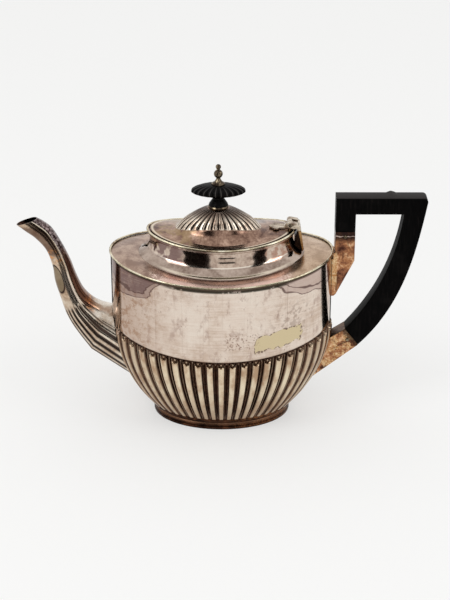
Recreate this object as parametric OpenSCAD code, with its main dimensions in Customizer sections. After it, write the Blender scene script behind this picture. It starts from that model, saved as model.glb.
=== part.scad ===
// Half-fluted oval teapot with a hinged lid and an ebonised wood handle.
// Origin: on the table, under the middle of the foot. +X points to the handle, -X to the spout.

/* [Body] */
// Length of the plain upper wall
body_len = 150; // [130:1:170]
// Width of the plain upper wall
body_wid = 104.4; // [90:0.2:120]
// Height of the wall's top edge at the spout and handle ends
wall_top = 118.4; // [106:0.2:130]
// How far the rim dips at the front and back
rim_dip = 6.2; // [0:0.1:8]
// Thickness of the sheet that the body, shoulder, collar and lid are raised from
sheet = 1; // [0.8:0.1:1.4]
// Height at which the bowl meets the upright wall
bowl_top = 66; // [55:1:75]
// Length of the bowl where it sits on the foot
bowl_foot_len = 99; // [90:1:106]
// Width of the bowl where it sits on the foot
bowl_foot_wid = 72; // [60:0.2:80]
// Fullness of the bowl: at 2 its side is a parabola, and below that it is leaner
bowl_fullness = 1.85; // [1.7:0.05:2.2]

/* [Fluting] */
// Number of flutes round the bowl
flutes = 50; // [36:2:60]
// Height of the flute heads at the spout and handle ends
flute_line = 69.5; // [60:0.5:75]
// How far the line of flute heads dips at the front and back
flute_dip = 10; // [0:0.5:14]
// How far a flute's crest stands out from the wall
flute_crest = 1.3; // [0.5:0.1:2]
// How far the groove between two flutes is sunk below the wall
flute_groove = 0.9; // [0.3:0.1:1.2]

/* [Foot] */
// Height of the foot ring
foot_h = 8.5; // [6:0.5:10]
// Length of the foot ring at the table
foot_len = 94; // [84:1:98]
// Width of the foot ring at the table
foot_wid = 69.6; // [60:0.2:80]
// Radial width of the foot ring
foot_band = 4.4; // [3:0.1:6]

/* [Shoulder and collar] */
// Radius of the wire soldered round the rim
rim_wire_r = 0.7; // [0.5:0.05:1.2]
// Radius of the wire soldered round the mouth
mouth_wire_r = 0.8; // [0.6:0.05:1]
// Length of the collar's base on the shoulder
collar_len = 112; // [104:0.2:120]
// Width of the collar's base on the shoulder
collar_wid = 80.4; // [70:0.2:88]
// Length of the mouth inside the collar's turned-in lip
mouth_len = 93.6; // [84:0.2:96]
// Width of the mouth inside the collar's turned-in lip
mouth_wid = 52; // [46:0.2:56]
// Height of the collar above the shoulder
collar_h = 15.2; // [12:0.2:20]
// How far the collar and the lid dip at the front and back
neck_dip = 5.1; // [0:0.1:7]

/* [Spout] */
// How far the spout's mouth reaches out from the end wall
spout_reach = 62.5; // [56:0.5:68]
// Height of the spout's mouth above the table
spout_top = 142.4; // [138:0.2:147]
// Height at which the spout's root ends on the wall, at its upper edge
root_top = 78; // [76:0.5:80]
// Height at which the spout's root ends on the bowl, at its lower edge
root_low = 26.5; // [24:0.5:30]
// Thickness of the spout's sheet
spout_wall = 1.1; // [0.9:0.1:1.4]
// Half width of the spout at its mouth
spout_tip_w = 4.6; // [4:0.1:6]
// Half width of the spout at its root on the body
spout_root_w = 15.5; // [12:0.5:18]
// Number of flutes on each side of the spout's lower half
spout_flutes = 7; // [5:1:9]
// Height of a spout flute
spout_flute_h = 0.9; // [0.4:0.1:1.2]
// Diameter of a strainer hole in the body behind the spout
strainer_d = 3.6; // [2:0.1:4.5]

/* [Lid] */
// Height of the lid's dome above its flange
dome_h = 14.6; // [12:0.2:18]
// Number of flutes round the dome
lid_flutes = 32; // [24:2:40]
// Height of a dome flute
lid_flute_h = 0.8; // [0.3:0.1:1.2]
// How far the dome and finial stand towards the spout from the middle of the lid
dome_shift = 2; // [0:0.5:3]
// Gap round the edge of the lid
lid_gap = 1; // [0.9:0.05:1.2]
// Gap under the lid's flange
seat_gap = 0.5; // [0.3:0.05:0.6]
// Depth of the bezel that drops into the mouth
bezel_h = 4; // [2:0.5:5]

/* [Hinge] */
// Distance of the hinge pin in from the mouth wire's centre at the handle end
hinge_inset = 3.6; // [3.4:0.05:3.7]
// Height of the hinge pin above the mouth wire's centre at the handle end
hinge_rise = 4; // [3.9:0.1:4.8]
// Radius of a hinge knuckle
knuckle_r = 2; // [1.6:0.1:2.2]
// Radius of the hinge pin
hinge_pin_r = 0.8; // [0.6:0.05:0.9]
// Width of the hinge across the pot
hinge_wid = 12; // [9:0.5:14]
// Width of the lid's middle knuckle
mid_knuckle = 4; // [3:0.5:5]
// Side gap between neighbouring knuckles
knuckle_gap = 0.2; // [0.15:0.05:0.4]

/* [Finial] */
// Length of the finial's oval button
button_len = 36.2; // [28:0.2:40]
// Width of the finial's oval button
button_wid = 20; // [16:0.2:24]
// Height of the button with its foot
button_h = 14.6; // [12:0.2:18]
// Number of lobes round the button
button_lobes = 24; // [16:2:30]
// Depth of the notch between two lobes
button_notch = 0.8; // [0.3:0.1:1.2]
// Radius of the silver washer under the button
washer_r = 7; // [6:0.1:8]
// Thickness of the washer
washer_h = 1.4; // [1:0.1:2]
// Radius of the threaded stud that holds the finial
stud_r = 1.5; // [1.2:0.1:1.8]
// Radius of the silver ball over the button
ball_r = 3; // [2:0.1:3.5]
// Radius of the small ball at the tip
tip_r = 1.8; // [1:0.1:2.2]

/* [Handle] */
// Thickness of the wooden handle across the pot
handle_t = 12.4; // [10:0.2:15]
// Height of the handle's top edge above the shoulder
handle_rise = 39.5; // [36:0.1:46]
// Gap between the pot's end wall and the handle's upright leg
handle_gap = 1.3; // [1.3:0.1:4]
// Width of the handle's upright leg
handle_leg = 13.3; // [12:0.1:15]
// Height of the handle's level bar
handle_bar = 11.6; // [10:0.1:13]
// Length of the handle from its upright leg to its outer corner
handle_reach = 61; // [56:0.5:66]
// Height above the shoulder where the wood meets the upper socket
joint_rise = 15.5; // [12:0.1:20]
// Thickness of the socket's sheet
socket_wall = 1; // [0.8:0.1:1.3]
// How far the upper socket reaches down below the shoulder
socket_drop = 31.4; // [26:0.2:36]
// How far below the shoulder the upper socket starts to slope in
diagonal_drop = 5.5; // [2:0.1:8]
// Height of the lower socket's seat above the foot
seat_rise = 16.5; // [13:0.5:20]
// Height of the lower socket's seat on the bowl
seat_h = 31; // [27:1:33]
// How far the lower joint lies out from the upright leg
joint_out = 8.6; // [7:0.2:11]
// How far the lower joint lies below the top of the bowl
joint_drop = 3; // [1:0.5:6]
// Length of the lower joint along the table
joint_run = 9.3; // [8:0.1:11]
// Fall of the lower joint from its inner to its outer end
joint_fall = 12.1; // [10:0.1:14]
// Depth of the wooden tenons in their sockets
tenon_len = 13; // [9:0.5:15]
// Radius of the handle pins
handle_pin_r = 1.1; // [0.8:0.05:1.4]

/* [Hidden] */

seam = 0.05;            // gap of a soldered or cemented joint
pin_fit = 0.03;         // radial clearance of a pressed pin in its hole
hinge_fit = 0.06;       // radial clearance of the hinge pin in the lid's knuckle
over = 1;               // how far a cutter passes the face it opens
silver = "#b9a99a";
tarnish = "#8a6f5e";
copper = "#b0703c";
ebony = "#1b1918";
$fn = 48;

// ---- Ovals: every ring of the pot is [half length, half width, height at the ends, dip] ----

body_a = body_len / 2;
body_b = body_wid / 2;
// degrees that space points evenly along the oval, where equal angles would bunch them at its ends
even_k = 90 / PI * (body_a - body_b) / (body_a + body_b);
function even(s) = s + even_k * sin(2 * s);
function oval_point(r, s, shift = 0) = [
    r[0] * cos(even(s)) - shift,
    r[1] * sin(even(s)),
    r[2] - r[3] * pow(sin(even(s)), 2)
];
// a ring moved outwards by d and up by h
function grown(r, d, h = 0) = [r[0] + d, r[1] + d, r[2] + h, r[3]];
function clamp01(v) = max(0, min(1, v));

// A closed surface of n columns, each the same loop of m points, seen anticlockwise from column to column
module closed_loft(points, n, m) {
    polyhedron(
        points = points,
        faces = [
            for (i = [0 : n - 1])
                for (j = [0 : m - 1])
                    let (k = (i + 1) % n, l = (j + 1) % m)
                        each [[i * m + j, i * m + l, k * m + l], [i * m + j, k * m + l, k * m + j]]
        ],
        convexity = 6
    );
}

// A ring-shaped solid whose section is a closed loop of rings, from outside bottom up and back down inside
module oval_loft(rings, n) {
    closed_loft([for (i = [0 : n - 1]) for (r = rings) oval_point(r, 360 * i / n)], n, len(rings));
}

// The loop of rings that makes a round wire centred on ring r
function wire_rings(r, radius) = [
    for (j = [0 : wire_sides - 1])
        grown(r, radius * cos(360 * j / wire_sides), radius * sin(360 * j / wire_sides))
];

wire_sides = 8;
ring_steps = 72;

// ---- Body ----

bowl_steps = 4;         // points across one flute
bowl_levels = [0, 0.07, 0.16, 0.28, 0.42, 0.57, 0.72, 0.86, 0.955, 1];
foot_a = bowl_foot_len / 2;
foot_b = bowl_foot_wid / 2;
// share of the way from the bowl's foot to the upright wall at height z
function bowl_fill(z) = z >= bowl_top ? 1 : 1 - pow((bowl_top - z) / (bowl_top - foot_h), bowl_fullness);
function wall_a(z) = foot_a + (body_a - foot_a) * bowl_fill(z);
function wall_b(z) = foot_b + (body_b - foot_b) * bowl_fill(z);
function flute_head(t) = flute_line - flute_dip * pow(sin(t), 2);

// The fluting fades out under the spout's root and under the lower socket
spout_half_angle = asin(spout_root_w / body_b);
socket_half_angle = asin(handle_t / 2 / body_b);
fade_angle = 5;
fade_h = 4;
function from_handle(t) = abs(t > 180 ? t - 360 : t);
function spout_fade(t) = clamp01((180 - from_handle(t) - spout_half_angle) / fade_angle);
function socket_fade(t, z) = max(
    clamp01((from_handle(t) - socket_half_angle) / fade_angle),
    clamp01((z - lower_seat_top) / fade_h)
);
// a flute across its width, with u from 0 in one groove to 1 in the next
function reed(u) = sqrt(max(0, 1 - pow(2 * u - 1, 2)));
// a flute along its length, with v from 0 at the foot to 1 at its rounded head
head_v = 0.9;
foot_swell = 0.35;
function flute_swell(v) =
    v > head_v ? sqrt(max(0, 1 - pow((v - head_v) / (1 - head_v), 2))) : min(1, foot_swell + 3 * v);
function flute_out(u, v, t, z) =
    flute_swell(v) * spout_fade(t) * socket_fade(t, z)
    * ((flute_crest + flute_groove) * reed(u) - flute_groove);

body_columns = flutes * bowl_steps;
function fluted_point(i, v) =
    let (
        t = even(360 * i / body_columns),
        z = foot_h + (flute_head(t) - foot_h) * v,
        out = flute_out((i % bowl_steps) / bowl_steps, v, t, z)
    )
    [(wall_a(z) + out) * cos(t), (wall_b(z) + out) * sin(t), z];
lining = sheet + flute_groove;
function lining_ring(z) = [wall_a(z) - lining, wall_b(z) - lining, z, 0];
lining_levels = [0.9, 0.62, 0.4, 0.2, 0];

module body_shell() {
    color(silver)
    difference() {
        closed_loft(
            [
                for (i = [0 : body_columns - 1])
                    each concat(
                        [for (v = bowl_levels) fluted_point(i, v)],
                        [
                            for (r = concat(
                                [
                                    [body_a, body_b, wall_top, rim_dip],
                                    [body_a - sheet, body_b - sheet, wall_top, rim_dip]
                                ],
                                [for (v = lining_levels) lining_ring(foot_h + (bowl_top - foot_h) * v)]
                            ))
                                oval_point(r, 360 * i / body_columns)
                        ]
                    )
            ],
            body_columns,
            len(bowl_levels) + 2 + len(lining_levels)
        );
        strainer_holes();
    }
}

// Rows of round holes that hold the leaves back from the spout
strainer_rows = 4;
strainer_pitch = 6.5;
strainer_low = 42;
module strainer_holes() {
    for (row = [0 : strainer_rows - 1])
        for (side = [-1 : 1])
            translate([-body_a - over, side * strainer_pitch, strainer_low + row * strainer_pitch])
                rotate([0, 90, 0]) cylinder(d = strainer_d, h = body_a - foot_a, $fn = 24);
}

// ---- Foot and base ----

module foot_ring() {
    top_a = foot_a - 1;
    top_b = foot_b - 1;
    color(tarnish)
    oval_loft(
        [
            [foot_len / 2, foot_wid / 2, 0, 0],
            [foot_len / 2 + 0.4, foot_wid / 2 + 0.4, foot_h * 0.25, 0],
            [foot_len / 2 - 0.5, foot_wid / 2 - 0.5, foot_h * 0.5, 0],
            [top_a + 0.4, top_b + 0.4, foot_h * 0.8, 0],
            [top_a + 0.4, top_b + 0.4, foot_h - seam, 0],
            [foot_len / 2 - foot_band, foot_wid / 2 - foot_band, foot_h - seam, 0],
            [foot_len / 2 - foot_band, foot_wid / 2 - foot_band, 0, 0]
        ],
        ring_steps
    );
}

// The base is let into the bowl's open bottom and lies on the foot ring
module base_plate() {
    color(tarnish)
    translate([0, 0, foot_h])
        linear_extrude(sheet)
            scale([foot_a - lining - seam - 0.2, foot_b - lining - seam - 0.2]) circle(1);
}

// ---- Shoulder and collar ----

collar_a = collar_len / 2;
collar_b = collar_wid / 2;
mouth_a = mouth_len / 2;
mouth_b = mouth_wid / 2;
shoulder_z = wall_top + seam + sheet;
collar_top = shoulder_z + collar_h;
hole_in = 1.8;          // how far the shoulder reaches in under the collar
crown = 0.7;            // rise of the shoulder between its two edges

module shoulder_plate() {
    mid_a = (body_a + collar_a) / 2;
    mid_b = (body_b + collar_b) / 2;
    mid_dip = (rim_dip + neck_dip) / 2;
    color(silver)
    oval_loft(
        [
            [body_a, body_b, shoulder_z - sheet, rim_dip],
            [body_a, body_b, shoulder_z, rim_dip],
            [mid_a, mid_b, shoulder_z + crown, mid_dip],
            [collar_a, collar_b, shoulder_z, neck_dip],
            [collar_a - hole_in, collar_b - hole_in, shoulder_z, neck_dip],
            [collar_a - hole_in, collar_b - hole_in, shoulder_z - sheet, neck_dip],
            [collar_a, collar_b, shoulder_z - sheet, neck_dip],
            [mid_a, mid_b, shoulder_z + crown - sheet, mid_dip]
        ],
        ring_steps
    );
}

rim_out = 0.85;         // how far the rim wire stands out from the wall
rim_ring = [
    body_a + rim_out - rim_wire_r,
    body_b + rim_out - rim_wire_r,
    shoulder_z + rim_wire_r + seam,
    rim_dip
];
module rim_wire() {
    color(silver) oval_loft(wire_rings(rim_ring, rim_wire_r), ring_steps);
}

// The collar sweeps in and up from the shoulder, and its turned-in lip carries the lid
lip = 2.8;
lip_ring = [mouth_a, mouth_b, collar_top, neck_dip];
// the waist stands out from the mouth's edge, less at the ends than at the front and back
waist_a = mouth_a + 1.3;
waist_b = mouth_b + 2.9;
// a ring of the collar: share of the way in from the base to the waist, height, and inset for the inner face
function collar_ring(share, h, inset = 0) = [
    collar_a + (waist_a - collar_a) * share - inset,
    collar_b + (waist_b - collar_b) * share - inset,
    shoulder_z + h,
    neck_dip
];
module collar() {
    color(silver)
    oval_loft(
        [
            collar_ring(0, seam),
            collar_ring(0, sheet),
            collar_ring(0.34, 0.10 * collar_h),
            collar_ring(0.69, 0.24 * collar_h),
            collar_ring(0.92, 0.47 * collar_h),
            collar_ring(1, 0.74 * collar_h),
            grown(lip_ring, lip - 0.9, -1.6),
            grown(lip_ring, lip, -sheet),
            grown(lip_ring, lip),
            lip_ring,
            grown(lip_ring, 0, -sheet),
            collar_ring(1, 0.74 * collar_h, sheet),
            collar_ring(0.92, 0.47 * collar_h, sheet),
            collar_ring(0.69, 0.20 * collar_h, sheet),
            collar_ring(0, seam, hole_in)
        ],
        ring_steps
    );
}

mouth_ring = grown(lip_ring, lip, mouth_wire_r + seam);
module mouth_wire() {
    color(silver) oval_loft(wire_rings(mouth_ring, mouth_wire_r), ring_steps);
}

// ---- Spout: two stamped halves, soldered along the top and the bottom ----

// Each station is drawn as [upper edge, lower edge, share of the widening from tip to root].
// An edge is its distance out from the end wall and its height, stretched to the reach and height asked for.
drawn_stations = [
    [[48.6, 142.4], [62.5, 137.9], 0],
    [[44.0, 139.6], [56.8, 133.3], 0.03],
    [[38.8, 134.9], [50.0, 128.0], 0.06],
    [[33.2, 125.0], [43.3, 119.6], 0.10],
    [[27.8, 113.0], [39.6, 108.0], 0.15],
    [[23.6, 100.5], [38.4, 97.5], 0.24],
    [[19.2, 90.5], [35.6, 86.8], 0.36],
    [[13.6, 84.0], [31.0, 71.5], 0.52],
    [[7.6, 80.2], [24.4, 59.4], 0.70],
    [[3.4, 78.8], [15.4, 46.4], 0.86]
];
reach_stretch = spout_reach / drawn_stations[0][1][0];
// the stretch in height fades out towards the root
function lifted(z) =
    z + (spout_top - drawn_stations[0][0][1]) * clamp01((z - root_top) / (spout_top - root_top));
function spout_edge(e) = [-body_a - e[0] * reach_stretch, lifted(e[1])];
spout_stations = [for (s = drawn_stations) [spout_edge(s[0]), spout_edge(s[1]), s[2]]];
root_gap = 0.15;
// each side has a plain upper facet down to a ridge, and the flutes lie below the ridge
ridge_at = 58;
ridge_steps = 5;
half_steps = ridge_steps + spout_flutes * 3;
function side_angle(q) =
    q < ridge_steps
        ? ridge_at * q / ridge_steps
        : ridge_at + (180 - ridge_at) * (q - ridge_steps) / (half_steps - ridge_steps);
function spout_half_w(share) = spout_tip_w + (spout_root_w - spout_tip_w) * share;
// the flutes start below the bend and run down to the root
fluted_from = 0.4;
function spout_flute(share, q) =
    share < fluted_from || q < ridge_steps
        ? 0
        : spout_flute_h * min(1, (share - fluted_from) * 8) * sin(side_angle(q))
            * (reed(((q - ridge_steps) % 3) / 3) - 1);
// a point of a station, q steps down one side from the upper edge, inset by d
function station_point(s, q, side, d) =
    let (
        f = side_angle(q),
        mid = (s[0] + s[1]) / 2,
        half = (s[0] - s[1]) / 2,
        len_share = (norm(half) - d) / norm(half),
        bulge = d > 0 ? 0 : spout_flute(s[2], q),
        p = mid + half * cos(f) * len_share,
        y = (spout_half_w(s[2]) - d) * pow(sin(f), 0.85) + bulge
    )
    [p[0], side * y, p[1]];
// a point of the root, which lies on the body's wall
function root_point(q, side, d) =
    let (
        f = side_angle(q),
        z = (root_top + root_low) / 2 + ((root_top - root_low) / 2 - d) * cos(f),
        y = (spout_root_w - d) * pow(sin(f), 0.85) + (d > 0 ? 0 : spout_flute(1, q))
    )
    [-(wall_a(z) + root_gap) * sqrt(1 - pow(y / wall_b(z), 2)), side * y, z];
function spout_loop(side, d) = [
    each [for (s = spout_stations) [for (q = [0 : half_steps]) station_point(s, q, side, d)]],
    [for (q = [0 : half_steps]) root_point(q, side, d)]
];

// One half is a strip of outer and inner rings, closed along the seams, at the mouth and at the root
module spout_half(side) {
    outer = spout_loop(side, 0);
    inner = spout_loop(side, spout_wall);
    n = len(outer);
    m = 2 * (half_steps + 1);
    section = [for (i = [0 : n - 1]) concat(outer[i], [for (q = [half_steps : -1 : 0]) inner[i][q]])];
    flip = side > 0;
    quads = [
        for (i = [0 : n - 2])
            for (j = [0 : m - 1])
                let (l = (j + 1) % m)
                    each [
                        [i * m + j, i * m + l, (i + 1) * m + l],
                        [i * m + j, (i + 1) * m + l, (i + 1) * m + j]
                    ]
    ];
    caps = [
        for (end = [0, n - 1])
            for (q = [0 : half_steps - 1])
                let (
                    a = end * m + q,
                    b = end * m + q + 1,
                    c = end * m + m - 2 - q,
                    d = end * m + m - 1 - q
                )
                each (end == 0 ? [[a, d, c], [a, c, b]] : [[a, b, c], [a, c, d]])
    ];
    all_faces = concat(quads, caps);
    polyhedron(
        points = [for (row = section) each row],
        faces = flip ? [for (f = all_faces) [f[2], f[1], f[0]]] : all_faces,
        convexity = 6
    );
}

module spout_left() {
    color(silver) translate([0, seam / 2, 0]) spout_half(1);
}

module spout_right() {
    color(silver) translate([0, -seam / 2, 0]) spout_half(-1);
}

// ---- Lid ----

lid_a = mouth_ring[0] - mouth_wire_r - lid_gap;
lid_b = mouth_ring[1] - mouth_wire_r - lid_gap;
lid_low = collar_top + seat_gap;
lid_top = lid_low + sheet;
lid_steps = 4;
lid_columns = lid_flutes * lid_steps;
// rings of the lid's upper face: [half length, half width, height over the flange, dip, shift, flute share]
lid_rings = [
    [lid_a, lid_b, 0, neck_dip, 0, 0],
    [0.84 * lid_a, lid_b - 2, -0.3, 0.82 * neck_dip, 0.1, 0],
    [0.69 * lid_a, lid_b - 4, -0.5, 0.6 * neck_dip, 0.4, 0],
    [0.63 * lid_a, 0.69 * lid_b, -0.4, -0.2 * neck_dip, 0.8, 0],
    [0.60 * lid_a, 0.60 * lid_b, 0, -0.8 * neck_dip, 1, 0],
    [0.585 * lid_a, 0.575 * lid_b, 0.05 * dome_h, -0.8 * neck_dip, 1, 1],
    [0.50 * lid_a, 0.51 * lid_b, 0.36 * dome_h, -0.5 * neck_dip, 1, 1],
    [0.40 * lid_a, 0.44 * lid_b, 0.60 * dome_h, -0.25 * neck_dip, 1, 0.9],
    [0.28 * lid_a, 0.36 * lid_b, 0.82 * dome_h, -0.1 * neck_dip, 1, 0.7],
    [washer_r + 2, washer_r + 1.6, 0.94 * dome_h, 0, 1, 0.4],
    [washer_r, washer_r, dome_h, 0, 1, 0],
    [stud_r - 0.5, stud_r - 0.5, dome_h, 0, 1, 0]
];
// the lower face follows the upper one, without the flutes
lid_under = [
    [stud_r - 0.5, stud_r - 0.5, dome_h, 0, 1],
    [washer_r, washer_r, 0.94 * dome_h, 0, 1],
    [0.27 * lid_a, 0.34 * lid_b, 0.72 * dome_h, -0.1 * neck_dip, 1],
    [0.48 * lid_a, 0.47 * lid_b, 0.28 * dome_h, -0.5 * neck_dip, 1],
    [0.58 * lid_a, 0.53 * lid_b, 0, -0.6 * neck_dip, 1],
    [0.69 * lid_a, lid_b - 5, -0.5, 0.6 * neck_dip, 0.4],
    [lid_a, lid_b, 0, neck_dip, 0]
];
function lid_point(i, r, z, flute) =
    let (
        t = even(360 * i / lid_columns),
        out = lid_flute_h * flute * (reed((i % lid_steps) / lid_steps) - 1)
    )
    [
        (r[0] + out) * cos(t) - dome_shift * r[4],
        (r[1] + out) * sin(t),
        z + r[2] + out / 2 - r[3] * pow(sin(t), 2)
    ];

dome_top = lid_top + dome_h;
module lid_shell() {
    color(silver)
    difference() {
        closed_loft(
            [
                for (i = [0 : lid_columns - 1])
                    each concat(
                        [for (r = lid_rings) lid_point(i, r, lid_top, r[5])],
                        [for (r = lid_under) lid_point(i, r, lid_top - sheet, 0)]
                    )
            ],
            lid_columns,
            len(lid_rings) + len(lid_under)
        );
        translate([-dome_shift, 0, lid_low]) cylinder(r = stud_r + pin_fit, h = dome_h + 2 * over);
    }
}

bezel_gap = 1.6;        // gap between the bezel and the lip of the mouth
bezel_drop = 0.15;      // how far the flange's lower face falls from its edge to the bezel
module lid_bezel() {
    color(silver)
    oval_loft(
        [
            [mouth_a - bezel_gap, mouth_b - bezel_gap, lid_low - bezel_h, neck_dip],
            [mouth_a - bezel_gap, mouth_b - bezel_gap, lid_low - bezel_drop, neck_dip],
            [mouth_a - bezel_gap - sheet, mouth_b - bezel_gap - sheet, lid_low - bezel_drop, neck_dip],
            [mouth_a - bezel_gap - sheet, mouth_b - bezel_gap - sheet, lid_low - bezel_h, neck_dip]
        ],
        ring_steps
    );
}

// ---- Hinge ----

hinge_x = mouth_ring[0] - hinge_inset;
hinge_z = mouth_ring[2] + hinge_rise;
outer_knuckle = (hinge_wid - mid_knuckle) / 2 - knuckle_gap;

// a slab across the pot, from y = low to y = low + depth, with its outline in the plane of the handle
module slab(low, depth) {
    translate([0, low + depth, 0]) rotate([90, 0, 0]) linear_extrude(depth) children();
}

module hinge_bracket() {
    // the strut's foot stands on the collar's sweep, a third of the way in from its base
    strut_x = collar_ring(0.34, 0)[0];
    foot_z = shoulder_z + 0.10 * collar_h;
    wire_out = mouth_ring[0] + mouth_wire_r + 0.2;
    waist_x = waist_a + 0.5;
    color(tarnish)
    difference() {
        union() {
            for (low = [-hinge_wid / 2, hinge_wid / 2 - outer_knuckle])
                slab(low, outer_knuckle) {
                    translate([hinge_x, hinge_z]) circle(knuckle_r);
                    polygon([
                        [hinge_x, hinge_z + knuckle_r],
                        [wire_out + 0.6, hinge_z + knuckle_r - 1],
                        [wire_out + 2.4, hinge_z - knuckle_r],
                        [wire_out, hinge_z - knuckle_r - 0.6],
                        [hinge_x, hinge_z - knuckle_r]
                    ]);
                }
            slab(-hinge_wid / 2, hinge_wid)
                polygon([
                    [wire_out + 0.6, hinge_z + 0.4],
                    [wire_out + 2.2, hinge_z - 0.6],
                    [wire_out + 3, collar_top - 1],
                    [strut_x + 2, foot_z + 1.2],
                    [strut_x + 1.4, foot_z + seam],
                    [strut_x, foot_z + seam],
                    [strut_x - 0.6, foot_z + 0.6],
                    [waist_x + 0.6, shoulder_z + 0.36 * collar_h],
                    [waist_x + 0.6, shoulder_z + 0.8 * collar_h],
                    [wire_out, collar_top],
                    [wire_out, hinge_z - knuckle_r]
                ]);
        }
        translate([hinge_x, hinge_wid / 2 + over, hinge_z])
            rotate([90, 0, 0]) cylinder(r = hinge_pin_r + pin_fit, h = hinge_wid + 2 * over);
    }
}

leaf_len = 14;
leaf_t = 1;
leaf_r = 2.1;
module hinge_leaf() {
    leaf_z = lid_top + seam;
    color(tarnish)
    difference() {
        union() {
            slab(-mid_knuckle / 2, mid_knuckle) {
                translate([hinge_x, hinge_z]) circle(knuckle_r);
                polygon([
                    [hinge_x, hinge_z + knuckle_r],
                    [hinge_x - knuckle_r, hinge_z + 0.5],
                    [hinge_x - knuckle_r - 2.4, leaf_z + leaf_t],
                    [hinge_x - knuckle_r - 2.4, leaf_z],
                    [hinge_x - 0.4, leaf_z],
                    [hinge_x, hinge_z - knuckle_r]
                ]);
            }
            translate([0, 0, leaf_z])
                linear_extrude(leaf_t) {
                    translate([hinge_x - leaf_len + leaf_r, 0]) circle(leaf_r);
                    for (side = [-1, 1])
                        translate([hinge_x - leaf_len + 2.2 * leaf_r, side * 1.6 * leaf_r]) circle(leaf_r);
                    translate([hinge_x - leaf_len + leaf_r, -1.6 * leaf_r])
                        square([leaf_len - leaf_r - knuckle_r - 1.2, 3.2 * leaf_r]);
                }
        }
        translate([hinge_x, hinge_wid / 2, hinge_z])
            rotate([90, 0, 0]) cylinder(r = hinge_pin_r + hinge_fit, h = hinge_wid);
    }
}

module hinge_pin() {
    head_h = 0.5;
    color(silver)
    translate([hinge_x, hinge_wid / 2 + head_h, hinge_z])
        rotate([90, 0, 0]) {
            cylinder(r = hinge_pin_r, h = hinge_wid + 2 * head_h);
            cylinder(r = hinge_pin_r + 0.5, h = head_h - 0.02);
            translate([0, 0, hinge_wid + head_h + 0.02]) cylinder(r = hinge_pin_r + 0.5, h = head_h - 0.02);
        }
}

// ---- Finial ----

washer_z = dome_top + seam;
button_z = washer_z + washer_h + seam;
button_top = button_z + button_h;
cap_h = 4.8;            // height of the cone under the ball

module on_lid(z) {
    translate([-dome_shift, 0, z]) children();
}

module finial_washer() {
    color(silver)
    on_lid(washer_z)
        rotate_extrude()
            polygon([
                [stud_r + pin_fit, 0],
                [washer_r - 0.5, 0],
                [washer_r, washer_h * 0.5],
                [washer_r - 0.5, washer_h],
                [stud_r + pin_fit, washer_h]
            ]);
}

button_steps = 4;
button_columns = button_lobes * button_steps;
waist_r = 3.75;
// rings of the button: [half length, half width, height, lobe share]
button_rings = [
    [washer_r - 0.6, washer_r - 0.6, 0, 0],
    [washer_r - 0.8, washer_r - 0.8, 0.07 * button_h, 0],
    [waist_r + 1, waist_r + 1, 0.22 * button_h, 0],
    [waist_r, waist_r, 0.34 * button_h, 0],
    [waist_r + 1.6, waist_r + 0.8, 0.44 * button_h, 0],
    [0.38 * button_len, 0.38 * button_wid, 0.52 * button_h, 0.7],
    [0.49 * button_len, 0.48 * button_wid, 0.62 * button_h, 1],
    [0.5 * button_len, 0.5 * button_wid, 0.71 * button_h, 1],
    [0.46 * button_len, 0.46 * button_wid, 0.82 * button_h, 1],
    [0.32 * button_len, 0.34 * button_wid, 0.94 * button_h, 0.7],
    [5, 5, button_h, 0],
    [stud_r - 0.5, stud_r - 0.5, button_h, 0],
    [stud_r - 0.5, stud_r - 0.5, 0, 0]
];
module finial_button() {
    color(ebony)
    on_lid(button_z)
        difference() {
            closed_loft(
                [
                    for (i = [0 : button_columns - 1])
                        for (r = button_rings)
                            let (
                                t = even(360 * i / button_columns),
                                out = button_notch * r[3] * (reed((i % button_steps) / button_steps) - 1)
                            )
                            [(r[0] + out) * cos(t), (r[1] + out) * sin(t), r[2]]
                ],
                button_columns,
                len(button_rings)
            );
            translate([0, 0, -over]) cylinder(r = stud_r + pin_fit, h = button_h + 2 * over);
        }
}

// The cap is bored from below for the stud
stud_in = 4;
module finial_cap() {
    neck = 1.1;
    cone_r = 4.6;
    ball_z = cap_h + 0.8 * ball_r;
    tip_z = ball_z + ball_r + 1.05 * tip_r;
    color(silver)
    on_lid(button_top + seam)
        difference() {
            union() {
                rotate_extrude()
                    polygon([
                        [0, 0],
                        [cone_r, 0],
                        [cone_r, 0.6],
                        [2.6, 0.4 * cap_h],
                        [1.5, 0.75 * cap_h],
                        [1.3, ball_z],
                        [neck, ball_z],
                        [neck, tip_z],
                        [0, tip_z]
                    ]);
                translate([0, 0, ball_z]) sphere(ball_r);
                translate([0, 0, tip_z]) sphere(tip_r);
            }
            translate([0, 0, -over]) cylinder(r = stud_r * 0.62 + pin_fit, h = stud_in + over);
        }
}

nut_h = 2.4;
nut_z = lid_low + 0.94 * dome_h - nut_h - seam;
module finial_stud() {
    low = nut_z - 0.8;
    color(silver)
    on_lid(low) {
        cylinder(r = stud_r, h = button_top - low);
        cylinder(r = stud_r * 0.62, h = button_top - low + stud_in - 0.4);
    }
}

module finial_nut() {
    color(tarnish)
    on_lid(nut_z)
        difference() {
            cylinder(r = 3.6, h = nut_h, $fn = 6);
            translate([0, 0, -over]) cylinder(r = stud_r + pin_fit, h = nut_h + 2 * over);
        }
}

// ---- Handle ----

bend_steps = 12;
function bezier(p, t) =
    pow(1 - t, 3) * p[0] + 3 * pow(1 - t, 2) * t * p[1] + 3 * (1 - t) * t * t * p[2] + pow(t, 3) * p[3];
function curve(p) = [for (i = [0 : bend_steps]) bezier(p, i / bend_steps)];
function reversed(l) = [for (i = [len(l) - 1 : -1 : 0]) l[i]];

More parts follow.
